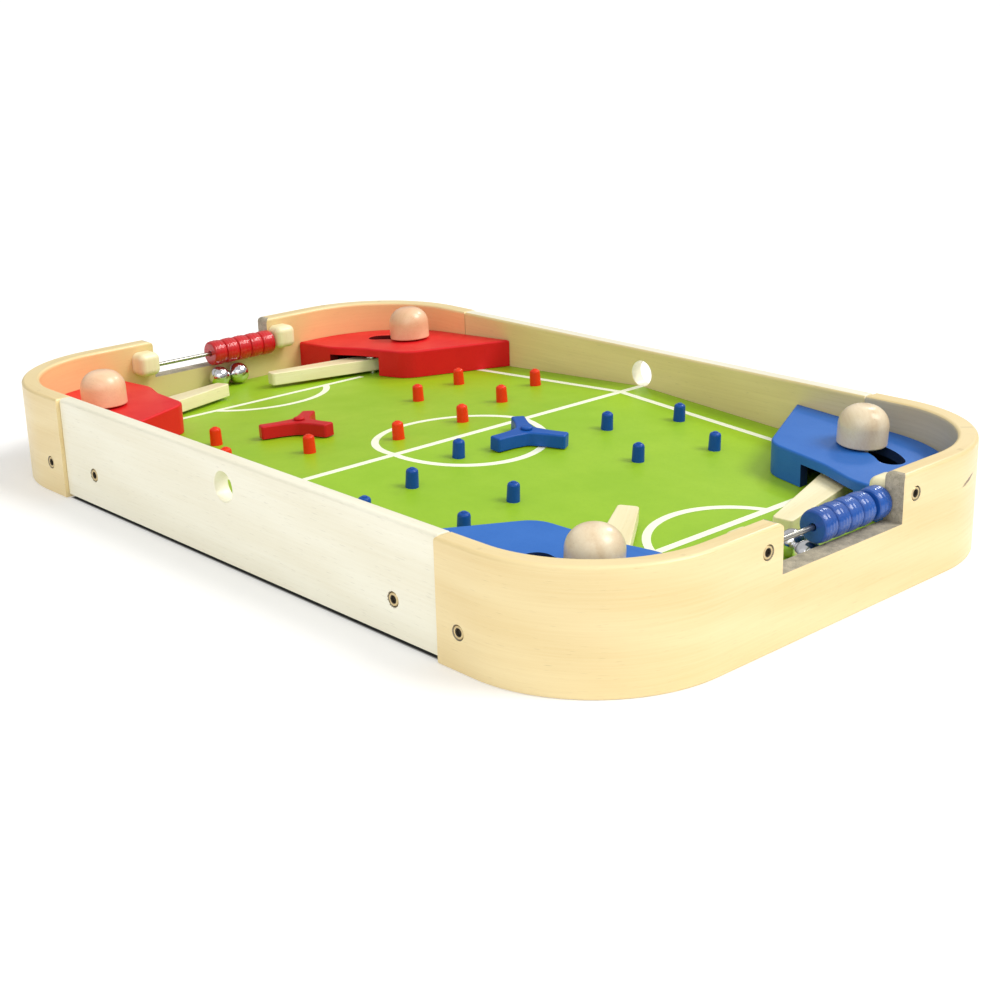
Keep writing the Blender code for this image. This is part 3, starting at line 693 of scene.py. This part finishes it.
def settle(obj):
    """Make the modifiers' result the object's own mesh."""
    depsgraph = bpy.context.evaluated_depsgraph_get()
    settled = bpy.data.meshes.new_from_object(
        obj.evaluated_get(depsgraph), preserve_all_data_layers=True, depsgraph=depsgraph)
    old = obj.data
    obj.modifiers.clear()
    obj.data = settled
    bpy.data.meshes.remove(old)
    settled.name = obj.name


def ease(obj, width, segments=2, angle=40):
    """Round every edge that is sharper than the angle by a small width."""
    modifier = obj.modifiers.new("ease", "BEVEL")
    modifier.width = width
    modifier.segments = segments
    modifier.limit_method = "ANGLE"
    modifier.angle_limit = math.radians(angle)
    modifier.use_clamp_overlap = True
    settle(obj)


def smooth(obj, angle=32):
    """Shade smooth, with flat faces kept flat by their weight."""
    obj.data.shade_smooth()
    obj.data.set_sharp_from_angle(angle=math.radians(angle))
    modifier = obj.modifiers.new("weighted", "WEIGHTED_NORMAL")
    modifier.keep_sharp = True
    modifier.weight = 80
    settle(obj)


def lay_grain(obj, place_in_wood):
    """Store where each point lies in the wood, X along the fibres."""
    attribute = obj.data.attributes.new("grain", "FLOAT_VECTOR", "POINT")
    for vertex, value in zip(obj.data.vertices, attribute.data):
        value.vector = place_in_wood(vertex.co)


def hexagon(start, stop):
    """A shape function that makes the rings numbered start to stop six-sided."""
    def shape(number, angle):
        if not start <= number <= stop:
            return 1.0
        sector = math.tau / 6
        return math.cos(sector / 2) / math.cos((angle % sector) - sector / 2)
    return shape


# ---------------- fastener places

def frame_screw_places(end, side):
    """The two frame screws of a corner: the side board's and the end rail's, heads out."""
    places = []
    for (u, height), face in ((SIDE_SCREW, BOARD_FACE_Y), (RAIL_SCREW, WIDTH / 2)):
        place = Vector((end * u, side * (face - GAP), height))
        places.append(Matrix.Translation(place) @ along("Y", side))
    return places


def block_screw_place(end, side):
    """The screw that holds a rod block, driven in from outside the end rail."""
    place = Vector((end * (LENGTH / 2 - GAP), side * BLOCK_SCREW[0], BLOCK_SCREW[1]))
    return Matrix.Translation(place) @ along("X", end)


def screw_hole(length):
    """The countersunk hole for a screw, open at its head."""
    head = HEAD_RADIUS + GAP
    return turned([
        (0, -length - GAP), (SHANK_HOLE_RADIUS, -length - GAP), (SHANK_HOLE_RADIUS, -0.0027),
        (head, -0.0009), (head, 0.002), (0, 0.002),
    ], 36)


def screw(length):
    """A flat-headed hexagon socket screw, its head up at z = 0."""
    profile = [(0, -length), (THREAD_RADIUS * 0.5, -length), (THREAD_CORE, -length + 0.0015)]
    rise = (length - 0.0042) / THREAD_TURNS
    for turn in range(THREAD_TURNS):
        base = -length + 0.0016 + turn * rise
        profile += [(THREAD_CORE, base), (THREAD_RADIUS, base + rise * 0.5)]
    profile += [(THREAD_RADIUS, -0.0026), (HEAD_RADIUS - 0.0001, -0.0008), (HEAD_RADIUS, -0.0005)]
    profile += [(HEAD_RADIUS - 0.0004, 0.0), (SOCKET_RIM, 0.0)]
    start = len(profile)
    profile += [(SOCKET_RADIUS, -0.0002), (SOCKET_RADIUS - 0.0001, -0.0014)]
    profile += [(0.0004, -SOCKET_DEPTH), (0, -SOCKET_DEPTH)]
    return turned(profile, 36, hexagon(start, start + 1))


def add_screw(name, length, place, replaces=()):
    """A screw in its place, with painted shade in its socket."""
    bm = screw(length)

    def within(vert):
        return vert.co.xy.length < SOCKET_RIM + GAP / 6 and vert.co.z > -SOCKET_DEPTH - GAP / 3

    for face in bm.faces:
        below = any(vert.co.z < -GAP / 2 for vert in face.verts)
        face.material_index = 1 if below and all(within(vert) for vert in face.verts) else 0
    bm.transform(place)
    add_piece(name, bm, [SCREW, SOCKET], "frame", replaces, 40)


# ---------------- frame pieces

def corner_coordinates(co, end):
    """The (u, v) of a point, and the sign of its side."""
    return end * co.x, abs(co.y), 1 if co.y > 0 else -1


def rail_place(end):
    """Where a point of a bent end rail lies in its strip of wood."""
    middle = CORNER_RADIUS - WALL / 2

    def place(co):
        u, v, sign = corner_coordinates(co, end)
        if v <= BEND_V:
            return (co.y, LENGTH / 2 - u, co.z)
        if u <= BEND_U:
            run = BEND_V + middle * math.pi / 2 + (BEND_U - u)
            return (sign * run, WIDTH / 2 - v, co.z)
        offset = Vector((u - BEND_U, v - BEND_V))
        run = BEND_V + middle * math.atan2(offset.y, offset.x)
        return (sign * run, CORNER_RADIUS - offset.length, co.z)
    return place


def end_rail(team, end):
    """Bent end rail: a U with a goal notch whose lips are rounded over."""
    inner_radius = CORNER_RADIUS - WALL
    outline = rounded([
        (LENGTH / 2, -WIDTH / 2, CORNER_RADIUS), (LENGTH / 2, WIDTH / 2, CORNER_RADIUS),
        (SEAM_X, WIDTH / 2, 0), (SEAM_X, INNER_Y, 0),
        (INNER_X, INNER_Y, inner_radius), (INNER_X, -INNER_Y, inner_radius),
        (SEAM_X, -INNER_Y, 0), (SEAM_X, -WIDTH / 2, 0),
    ], math.radians(3))
    bm = prism(flipped(outline, end, 1), 0, RIM_HEIGHT)
    round_edges(bm, above(RIM_HEIGHT / 2), RIM_ROUND, 5)
    round_edges(bm, lambda edge: all(v.co.z < RIM_HEIGHT / 4 for v in edge.verts), 0.0006, 2)
    rail = add_piece(f"{team}_rail", bm, [RAIL_WOOD, RAW_AND_SHADE, INNER_WOOD_PAINTED_LIGHT[team]], "frame",
                     [f"{team}_end_rail"])
    lip = RIM_HEIGHT - NOTCH_LIP
    over = RIM_HEIGHT + WALL
    outer = NOTCH_HALF_WIDTH + NOTCH_LIP
    notch = [(-NOTCH_HALF_WIDTH, NOTCH_SILL), (NOTCH_HALF_WIDTH, NOTCH_SILL)]
    notch += arc((outer, lip), NOTCH_LIP, math.pi, math.pi / 2, 8)
    notch += [(outer, over), (-outer, over)]
    notch += arc((-outer, lip), NOTCH_LIP, math.pi / 2, 0, 8)
    across = Matrix(((0, 0, 1, 0), (1, 0, 0, 0), (0, 1, 0, 0), (0, 0, 0, 1)))
    low_x = min(end * (INNER_X - WALL), end * (LENGTH / 2 + WALL))
    solid = prism(notch, low_x, low_x + 3 * WALL)
    solid.transform(across)
    carve(rail, solid, 1)
    holes = [(screw_hole(SCREW_LENGTH), frame_screw_places(end, side)[1]) for side in (-1, 1)]
    holes += [(screw_hole(BLOCK_SCREW_LENGTH), block_screw_place(end, side)) for side in (-1, 1)]
    carve(rail, merged(holes), 1)
    ease(rail, 0.0005, 2, 50)
    give_inside_painted_light(rail, inner_face_of_rail(end))
    smooth(rail)
    lay_grain(rail, rail_place(end))


def inner_face_of_rail(end):
    """True for a face that looks inwards at the pitch."""
    def inside(face):
        u, v, sign = corner_coordinates(face.center, end)
        looks = Vector((end * face.normal.x, sign * face.normal.y))
        if abs(face.normal.z) > 0.5:
            return False
        if u > BEND_U and v > BEND_V:
            return looks.dot(Vector((u - BEND_U, v - BEND_V))) < 0
        return (looks.y if v > BEND_V else looks.x) < -0.5
    return inside


def give_inside_painted_light(obj, inside):
    """Give the lacquered faces that look inwards the third material: the inner walls' painted shade or
    painted bounce light.
    """
    for face in obj.data.polygons:
        if face.material_index == 0 and inside(face):
            face.material_index = 2


def side_board(side_name, side):
    """Straight side board with a throw-in hole over the ridge of the pitch."""
    reach = SEAM_X - GAP
    near, far = sorted((side * INNER_Y, side * BOARD_FACE_Y))
    bm = prism([(-reach, near), (reach, near), (reach, far), (-reach, far)], BOARD_FOOT, RIM_HEIGHT)
    at_rim = above(RIM_HEIGHT / 2)
    round_edges(bm, lambda edge: at_rim(edge) and edge.calc_length() > reach, RIM_ROUND, 5)
    board = add_piece(f"{side_name}_board", bm, [BOARD_WOOD, RAW_AND_SHADE, INNER_WOOD_PAINTED_LIGHT["board"]], "frame",
                      [f"{side_name}_side_board"])
    bore = bar(THROW_IN_RADIUS, 0, 3 * WALL, 56)
    start = Vector((0, side * (INNER_Y - WALL), THROW_IN_HEIGHT))
    carve(board, merged([(bore, Matrix.Translation(start) @ along("Y", side))]))
    holes = [(screw_hole(SCREW_LENGTH), frame_screw_places(end, side)[0]) for end in (-1, 1)]
    carve(board, merged(holes), 1)
    ease(board, 0.0006, 3, 50)
    give_inside_painted_light(board, lambda face: side * face.normal.y < -0.5)
    smooth(board)
    lay_grain(board, lambda co: (co.x, co.y, co.z + 0.1 * side))


# ---------------- pitch

def pitch(team, end):
    """One half of the pitch."""
    outer = INNER_X - FIT
    edge = INNER_Y - FIT
    corner = CORNER_RADIUS - WALL - FIT
    outline = flipped(rounded([
        (GAP / 2, -edge, 0), (outer, -edge, corner), (outer, edge, corner), (GAP / 2, edge, 0),
    ], math.radians(3)), end, 1)
    bm = prism(outline, lambda x, y: pitch_height(x) - PANEL, lambda x, y: pitch_height(x))
    for face in bm.faces:
        face.material_index = 0 if face.normal.z > 0.5 else 1
    add_piece(f"{team}_pitch", bm, [GREEN, UNDER_BOARD], "frame", [f"{team}_pitch_panel"],
              30)


def strip(points, lift, closed=False):
    """A thin closed solid of the lines' width that follows the pitch through plan points."""
    count = len(points)
    half = LINE_WIDTH / 2
    bm = bmesh.new()
    rows = []
    for index, point in enumerate(points):
        before = points[index - 1] if index or closed else point
        after = points[(index + 1) % count] if index < count - 1 or closed else point
        ahead = (Vector(after) - Vector(before)).normalized()
        across = Vector((-ahead.y, ahead.x))
        row = []
        for height in (0.0, LINE_HEIGHT):
            for offset in (-half, 0.0, half):
                x, y = Vector(point) + across * offset
                row.append(bm.verts.new((x, y, pitch_height(x) + height + lift)))
        rows.append(row)
    around = [0, 1, 2, 5, 4, 3]
    pairs = list(zip(rows, rows[1:]))
    if closed:
        pairs.append((rows[-1], rows[0]))
    else:
        bm.faces.new([rows[0][number] for number in around])
        bm.faces.new([rows[-1][number] for number in reversed(around)])
    for first, second in pairs:
        for start, stop in zip(around, around[1:] + around[:1]):
            bm.faces.new((first[start], first[stop], second[stop], second[start]))
    return bm


def straight(start, stop, steps=1):
    """Points on a straight run in the plan."""
    return [tuple(Vector(start).lerp(Vector(stop), step / steps)) for step in range(steps + 1)]


def pitch_lines():
    """The printed lines: halfway line, centre circle, touch lines and goal areas."""
    edge = INNER_Y - FIT
    circle = arc((0, 0), CENTRE_CIRCLE, 0, math.tau, 96)[:-1]
    paths = [(straight((0, -edge), (0, edge)), False), (circle, True)]
    for side in (-1, 1):
        paths.append((straight((-TOUCH_LINE_REACH, side * TOUCH_LINE_Y),
                               (TOUCH_LINE_REACH, side * TOUCH_LINE_Y), 2), False))
    for end in (-1, 1):
        middle = GOAL_LINE_X - GOAL_AREA_DEPTH + GOAL_AREA_RADIUS
        half_angle = math.acos((GOAL_AREA_RADIUS - GOAL_AREA_DEPTH) / GOAL_AREA_RADIUS)
        area = arc((middle, 0), GOAL_AREA_RADIUS, math.pi - half_angle, math.pi + half_angle, 32)
        paths.append((flipped(area, end, 1), False))
        paths.append((straight((end * GOAL_LINE_X, -GOAL_LINE_REACH),
                               (end * GOAL_LINE_X, GOAL_LINE_REACH)), False))
    for number, (points, closed) in enumerate(paths, 1):
        bm = strip(points, number * LINE_LIFT, closed)
        add_piece(f"pitch_line_{number}", bm, [WHITE], "frame")


def pegs(team, end):
    """One team's painted pegs, a little narrower at the top."""
    places = [(end * x, side * y) for x, y in PEG_PAIRS for side in (-1, 1)]
    places.remove(PEG_LEFT_OUT[team])
    top = PEG_RADIUS * PEG_TAPER
    shoulder = PEG_HEIGHT - PEG_CROWN - 0.0005
    profile = [(0, -PANEL / 2), (PEG_RADIUS, -PANEL / 2), (PEG_RADIUS, 0), (top, shoulder)]
    profile += arc((top - PEG_CROWN, shoulder), PEG_CROWN, 0, math.pi / 2, 5)[1:]
    profile += [(top * 0.4, PEG_HEIGHT - 0.0001), (0, PEG_HEIGHT)]
    for number, (x, y) in enumerate(places, 1):
        bm = turned(profile, 36)
        bm.transform(pitch_matrix(x, y))
        add_piece(f"{team}_peg_{number}", bm, [PAINT[f"{team}_peg_paint"]], "frame",
                  shade=40)


def spinner(team, end):
    """A three-armed blade with rounded edges, and the pin that it turns on."""
    hub = joint_place(f"{team}_spinner_hub")
    matrix = pitch_matrix(hub.x, hub.y)
    lacquer = f"{team}_spinner_paint"
    corners = []
    for arm in range(3):
        turn = Matrix.Rotation(arm * math.tau / 3, 2)
        for x, y, radius in mirrored(SPINNER_HALF_ARM):
            corners.append((*(turn @ Vector((x, y))), radius))
    top = SPINNER_CLEARANCE + SPINNER_THICKNESS
    bm = prism(rounded(corners, math.radians(8)), SPINNER_CLEARANCE, top)
    round_edges(bm, above(top - 0.0001), SPINNER_EDGE_ROUND, 4)
    bm.transform(matrix @ Matrix.Rotation(SPINNER_ANGLE[team], 4, "Z"))
    blade = add_piece(f"{team}_rotor", bm, [PAINT[lacquer]], f"{team}_spinner",
                      [f"{team}_spinner"])
    hole = bar(SPINNER_PIN_RADIUS + GAP, -top, 2 * top)
    hole.transform(matrix)
    carve(blade, hole)
    smooth(blade)
    head = SPINNER_HEAD_RADIUS
    edge = (head - SPINNER_HEAD_ROUND, top + SPINNER_HEAD_EDGE)
    pin = turned([
        (0, -SEAT_DEPTH), (SPINNER_PIN_RADIUS, -SEAT_DEPTH), (SPINNER_PIN_RADIUS, top + GAP),
        (head, top + GAP), (head, edge[1]), *arc(edge, SPINNER_HEAD_ROUND, 0, math.pi / 2, 4)[1:],
        (head * 0.4, top + SPINNER_HEAD_HEIGHT - 0.00005), (0, top + SPINNER_HEAD_HEIGHT),
    ], 40)
    pin.transform(matrix)
    add_piece(f"{team}_rotor_pin", pin, [PAINT[lacquer]], "frame", [f"{team}_spinner_pin"], 40)


def joint_place(name):
    """Where a hinge's axis passes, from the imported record."""
    for joint in frame["joints"]:
        if joint["name"] == name:
            return Vector(joint["pos_m"])
    raise ValueError(name)


# ---------------- corners

def slot_outline():
    """The curved slot for a knob's stem, in corner coordinates."""
    rest = KNOB_REST_ANGLE
    kicked = rest - SWING
    rest_end = arc(PIVOT, KNOB_ARM, rest, rest, 1)[0]
    kicked_end = arc(PIVOT, KNOB_ARM, kicked, kicked, 1)[0]
    slot = arc(PIVOT, KNOB_ARM + SLOT_HALF_WIDTH, kicked, rest, 20)[:-1]
    slot += arc(rest_end, SLOT_HALF_WIDTH, rest, rest + math.pi, 16)[:-1]
    slot += arc(PIVOT, KNOB_ARM - SLOT_HALF_WIDTH, rest, kicked, 16)[:-1]
    slot += arc(kicked_end, SLOT_HALF_WIDTH, kicked + math.pi, kicked + math.tau, 16)[:-1]
    return slot


def cover(corner, team, end, side):
    """Hollow corner cover: a mouth for the flipper and a curved slot for the knob's stem."""
    outer_u = INNER_X - FIT
    outer_v = INNER_Y - FIT
    outline = flipped(rounded([
        (COVER_START_U, outer_v, 0), *COVER_BROW, (outer_u, COVER_END_V, COVER_END_ROUND),
        (outer_u, outer_v, CORNER_RADIUS - WALL - FIT),
    ]), end, side)
    bm = prism(outline, lambda x, y: pitch_height(x) + GAP, lambda x, y: pitch_height(x) + COVER_HEIGHT)

    def brow(edge):
        return all(vert.co.z > pitch_height(vert.co.x) + COVER_HEIGHT / 2 for vert in edge.verts)

    round_edges(bm, brow, COVER_ROUND, 4)
    lacquer = f"{team}_cover_paint"
    shell = add_piece(f"{corner}_shell", bm, [PAINT[lacquer], PAINT[f"{team}_cover_inside"]], "frame",
                      [f"{corner}_cover"])

    def hollow(outline, roof):
        return prism(flipped(outline, end, side), lambda x, y: pitch_height(x) - WALL,
                     lambda x, y: pitch_height(x) + COVER_HEIGHT - roof)

    mouth = [(MOUTH_START, MOUTH_FRONT), (MOUTH_END, MOUTH_FRONT), (MOUTH_END, MOUTH_BACK),
             (MOUTH_START, MOUTH_BACK)]
    # The hollow's cut faces take the second material, the painted shade inside the cover.
    carve(shell, hollow(rounded(CAVITY_CORNERS), COVER_ROOF), 1)
    carve(shell, hollow(mouth, COVER_ROOF + GAP / 3), 1)
    carve(shell, prism(flipped(slot_outline(), end, side), pitch_height(outer_u), RIM_HEIGHT * 1.2), 1)
    ease(shell, 0.0004, 2, 50)
    smooth(shell)


def lever_outline():
    """Straight tapered lever about its pivot, tip towards the goal mouth."""
    direction = Vector((math.cos(BLADE_ANGLE), math.sin(BLADE_ANGLE)))
    across = Vector((-direction.y, direction.x))
    corners = mirrored([
        (-TAIL_LENGTH, TAIL_HALF_WIDTH, TAIL_ROUND), (0, BLADE_ROOT_HALF_WIDTH, BLADE_ROOT_ROUND),
        (BLADE_LENGTH, BLADE_TIP_HALF_WIDTH, BLADE_TIP_ROUND),
    ])
    points = rounded(corners, math.radians(9))
    return [tuple(direction * t + across * (BLADE_OFFSET + w)) for t, w in points]


def flipper(corner, team, end, side, kicked):
    """Lever, knob and pivot pin of one corner."""
    turn = Matrix.Rotation(-end * side * SWING if kicked else 0.0, 4, "Z")
    hinge = joint_place(f"{corner}_flipper_pivot")
    upright = pitch_matrix(hinge.x, hinge.y)
    upright.translation = hinge
    matrix = upright @ turn
    back = matrix.inverted()
    top = FLIPPER_CLEARANCE + FLIPPER_THICKNESS
    bm = prism(flipped(lever_outline(), end, side), FLIPPER_CLEARANCE, top)
    round_edges(bm, sharp_edge, LEVER_EDGE_ROUND, 3)
    bm.transform(matrix)
    lever = add_piece(f"{corner}_lever", bm, [LEVER_WOOD], f"{corner}_flipper",
                      [f"{corner}_flipper"])
    knob_u = KNOB_ARM * math.cos(KNOB_REST_ANGLE)
    knob_v = KNOB_ARM * math.sin(KNOB_REST_ANGLE)
    knob_place = Matrix.Translation((end * knob_u, side * knob_v, 0))
    carve(lever, merged([
        (bar(PIN_RADIUS + GAP, -top, 2 * top), matrix),
        (bar(STEM_RADIUS + GAP, -top, 2 * top), matrix @ knob_place),
    ]))
    smooth(lever)
    lie = math.atan2(side * math.sin(BLADE_ANGLE), end * math.cos(BLADE_ANGLE))
    fibres = Matrix.Rotation(-lie, 4, "Z")
    shift = Vector((0.3 * end, 0.2 * side, 0.1))
    lay_grain(lever, lambda co: (fibres @ back @ co) + shift)
    knob(corner, team, matrix @ knob_place, shift)
    head = PIN_HEAD_RADIUS
    high = top + PIN_HEAD_HEIGHT
    pin = turned([
        (0, -SEAT_DEPTH), (PIN_RADIUS, -SEAT_DEPTH), (PIN_RADIUS, top + GAP), (head, top + GAP),
        (head, high - 0.0005), (head - 0.0004, high), (0, high),
    ], 36)
    pin.transform(upright)
    add_piece(f"{corner}_pivot_pin", pin, [PIN_STEEL], "frame", [f"{corner}_flipper_pin"], 40)


def knob(corner, team, matrix, shift):
    """A domed wooden knob, turned in one piece with its stem."""
    foot = FLIPPER_CLEARANCE + GAP
    high = KNOB_BASE + KNOB_HEIGHT
    edge = (KNOB_RADIUS - KNOB_FOOT_EASE, KNOB_BASE + KNOB_FOOT_EASE)
    profile = [(0, foot), (STEM_RADIUS, foot), (STEM_RADIUS, KNOB_BASE)]
    profile += arc(edge, KNOB_FOOT_EASE, -math.pi / 2, 0, 4)
    profile += arc((KNOB_RADIUS - KNOB_ROUND, high - KNOB_ROUND), KNOB_ROUND, 0, math.pi / 2, 16)
    profile += [(0, high + GAP)]
    bm = turned(profile, 72)
    bm.transform(matrix)
    obj = add_piece(f"{corner}_grip", bm, [KNOB_WOOD_AND_BOUNCE[team]], f"{corner}_flipper", [f"{corner}_knob"],
                    40)
    twist = Matrix.Rotation(9 * shift.x + 5 * shift.y, 4, "Z")
    back = Matrix.Rotation(0.5, 4, "Y") @ twist @ matrix.inverted()
    lay_grain(obj, lambda co: (back @ co) + shift)


# ---------------- goal counters

def rod_block(corner, team, end, side):
    """Rounded wooden block inside the end wall that holds one end of the counter rod."""
    low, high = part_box(f"{corner}_rod_block")
    bm = prism([(low.x, low.y), (high.x, low.y), (high.x, high.y), (low.x, high.y)], low.z, high.z)
    wall_x = end * (INNER_X - GAP)

    def away_from_wall(edge):
        return any(abs(vert.co.x - wall_x) > 0.001 for vert in edge.verts)

    round_edges(bm, away_from_wall, BLOCK_ROUND, 8)
    block = add_piece(f"{corner}_bracket", bm, [LEVER_WOOD], "frame", [f"{corner}_rod_block"])
    rod = f"{team}_score_rod"
    bore = bar(ROD_RADIUS + GAP, NOTCH_HALF_WIDTH - WALL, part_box(rod)[1].y + GAP, 28)
    seat = Matrix.Translation(centre_of(rod)) @ along("Y", side)
    carve(block, merged([(bore, seat), (screw_hole(BLOCK_SCREW_LENGTH), block_screw_place(end, side))]))
    smooth(block)
    lay_grain(block, lambda co: (co.z, co.x, co.y + 0.2 * side * end))


def score_rod(team):
    """Thin steel rod with eased ends, through the beads."""
    node_name = f"{team}_score_rod"
    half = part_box(node_name)[1].y
    tip = ROD_RADIUS - ROD_TIP_EASE
    shaft = half - ROD_TIP_EASE
    bm = turned([
        (0, -half), (tip, -half), (ROD_RADIUS, -shaft), (ROD_RADIUS, -half / 2), (ROD_RADIUS, 0),
        (ROD_RADIUS, half / 2), (ROD_RADIUS, shaft), (tip, half), (0, half),
    ], 32)
    bm.transform(Matrix.Translation(centre_of(node_name)) @ along("Y"))
    add_piece(f"{team}_rod", bm, [ROD_STEEL], "frame", [node_name], 40)


def score_bead(team, number):
    """A barrel bead with turned grooves, bored for the rod."""
    node_name = f"{team}_score_bead_{number}"
    low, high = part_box(node_name)
    half = (high.y - low.y) / 2
    bore = ROD_RADIUS + GAP
    side = BEAD_RADIUS - BEAD_SHY
    flank = half - BEAD_FILLET
    mouth = half - BEAD_MOUTH_EASE
    profile = [(bore, -mouth), (bore + BEAD_MOUTH_EASE, -half)]
    profile += arc((side - BEAD_FILLET, -flank), BEAD_FILLET, -math.pi / 2, 0, 6)[:-1]
    steps = 14
    for step in range(steps + 1):
        share = -1 + 2 * step / steps
        swell = BEAD_SWELL * (1 - share * share)
        rib = BEAD_RIB * math.cos(share * math.pi * 3)
        profile.append((side + swell + rib, share * flank))
    profile += arc((side - BEAD_FILLET, flank), BEAD_FILLET, 0, math.pi / 2, 6)[1:]
    profile += [(bore + BEAD_MOUTH_EASE, half), (bore, mouth)]
    bm = turned(profile, 56, ring=True)
    roll = Matrix.Rotation(number * 1.1, 4, "Y")
    bm.transform(Matrix.Translation(centre_of(node_name)) @ roll @ along("Y"))
    add_piece(f"{team}_bead_{number}_ring", bm, [PAINT[f"{team}_bead_paint"]], f"{team}_bead_{number}",
              [node_name], 40)


# ---------------- balls

def ball(name):
    """A steel ball, made as a swollen cube so that its faces are even."""
    low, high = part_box(name)
    middle = centre_of(name)
    radius = (high.z - low.z) / 2
    bm = bmesh.new()
    bmesh.ops.create_cube(bm, size=1.0)
    bmesh.ops.subdivide_edges(bm, edges=bm.edges[:], cuts=15, use_grid_fill=True)
    for vert in bm.verts:
        vert.co = vert.co.normalized() * radius + middle
    add_piece(f"{name}_steel", bm, [STEEL], name, [name], 60)


# ---------------- stage

def stage():
    """Pale floor, soft studio lights and the camera."""
    bm = bmesh.new()
    bmesh.ops.create_grid(bm, x_segments=8, y_segments=8, size=6.0)
    mesh = bpy.data.meshes.new("floor")
    bm.to_mesh(mesh)
    bm.free()
    mesh.materials.append(floor_paint())
    floor = link("floor", mesh)
    floor.location.z = -0.0002
    sun("key", (0.69, 0.55, 1.05), 28, 1.80, (1.0, 0.975, 0.93))
    sun("fill", (-0.15, -1.0, 0.45), 70, 0.14, (0.98, 0.985, 1.0))
    sun("right", (1.0, -0.25, 0.25), 50, 0.05, (1.0, 0.97, 0.90))
    softbox("strip", (0.55, -0.50, 0.80), (0.9, 0.14), 1.2)
    softbox("window", (-0.12, 1.00, 0.84), (0.22, 0.12), 2.6)
    softbox("front", (0.62, -0.95, 0.45), (0.9, 0.9), 1.80)
    bpy.context.scene.world = studio_world()
    bpy.context.scene.view_settings.view_transform = "Standard"


def studio_world():
    """Even grey surroundings; gloss sees a darker horizon band, and the camera sees white."""
    world = bpy.data.worlds.new("studio")
    world.use_nodes = True
    tree = world.node_tree
    height = axes_of(node(tree, "TexCoord").outputs["Generated"])["Z"]
    glow = blend(spread(height, 0.0, 0.9), (0.62, 0.62, 0.62), (0.95, 0.95, 0.95))
    ray = node(tree, "LightPath").outputs
    banded = blend(spread(height, 0.10, 0.45), (0.16, 0.16, 0.16), (0.90, 0.90, 0.90))
    glow = blend(ray["Is Glossy Ray"], glow, banded)
    glow = blend(ray["Is Camera Ray"], glow, (1.6, 1.6, 1.6))
    feed(tree.nodes["Background"], {"Color": glow, "Strength": 0.66})
    return world


def add_light(light, place):
    """Put a light at a place, looking at the game."""
    obj = link(light.name, light)
    obj.location = place
    obj.rotation_mode = "QUATERNION"
    obj.rotation_quaternion = (-Vector(place)).to_track_quat("-Z", "Y")


def sun(name, place, softness, strength, colour):
    """A broad even light from a direction; softness is its width in degrees."""
    light = bpy.data.lights.new(name, "SUN")
    light.angle = math.radians(softness)
    light.energy = strength
    light.color = colour
    add_light(light, place)


def softbox(name, place, size, power):
    """A long soft box that draws highlights on the lacquer and the steel."""
    light = bpy.data.lights.new(name, "AREA")
    light.shape = "RECTANGLE"
    light.size, light.size_y = size
    light.energy = power
    add_light(light, place)


def camera():
    """The view from the blue goal's front corner, a little above the rim."""
    level = math.cos(CAMERA_ELEVATION)
    back = Vector((math.sin(CAMERA_AZIMUTH) * level, -math.cos(CAMERA_AZIMUTH) * level,
                   math.sin(CAMERA_ELEVATION)))
    right = (-back).cross(Vector((0, 0, 1))).normalized()
    up = right.cross(-back)
    across = right * math.cos(CAMERA_ROLL) + up * math.sin(CAMERA_ROLL)
    upward = up * math.cos(CAMERA_ROLL) - right * math.sin(CAMERA_ROLL)
    lens = bpy.data.cameras.new("camera")
    lens.lens = FOCAL_LENGTH
    lens.sensor_width = 36.0
    lens.clip_start = 0.01
    obj = link("camera", lens)
    matrix = Matrix((across, upward, back)).transposed().to_4x4()
    matrix.translation = CAMERA_PLACE
    obj.matrix_world = matrix
    bpy.context.scene.camera = obj


# ---------------- assembly

def finish_hidden_timber():
    """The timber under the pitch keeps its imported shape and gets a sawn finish."""
    for name, obj in frame["nodes"].items():
        if name.endswith("splice_block") or name == "ridge_beam":
            obj.data.materials.clear()
            obj.data.materials.append(HIDDEN_CROSS_WOOD if name == "ridge_beam" else HIDDEN_WOOD)


def build():
    """Every visible piece, then the stage and the camera."""
    for side_name, side in SIDES.items():
        side_board(side_name, side)
    pitch_lines()
    finish_hidden_timber()
    for team, end in ENDS.items():
        end_rail(team, end)
        pitch(team, end)
        pegs(team, end)
        spinner(team, end)
        score_rod(team)
        for number in range(1, 6):
            score_bead(team, number)
        for number in (1, 2):
            ball(f"{team}_ball_{number}")
        for side_name, side in SIDES.items():
            corner = f"{team}_{side_name}"
            cover(corner, team, end, side)
            flipper(corner, team, end, side, kicked=(corner == "blue_front"))
            rod_block(corner, team, end, side)
            in_board, in_rail = frame_screw_places(end, side)
            add_screw(f"{corner}_side_bolt", SCREW_LENGTH, in_board, [f"{corner}_board_screw"])
            add_screw(f"{corner}_rail_bolt", SCREW_LENGTH, in_rail, [f"{corner}_rail_screw"])
            add_screw(f"{corner}_bracket_bolt", BLOCK_SCREW_LENGTH, block_screw_place(end, side))
    stage()
    camera()


build()
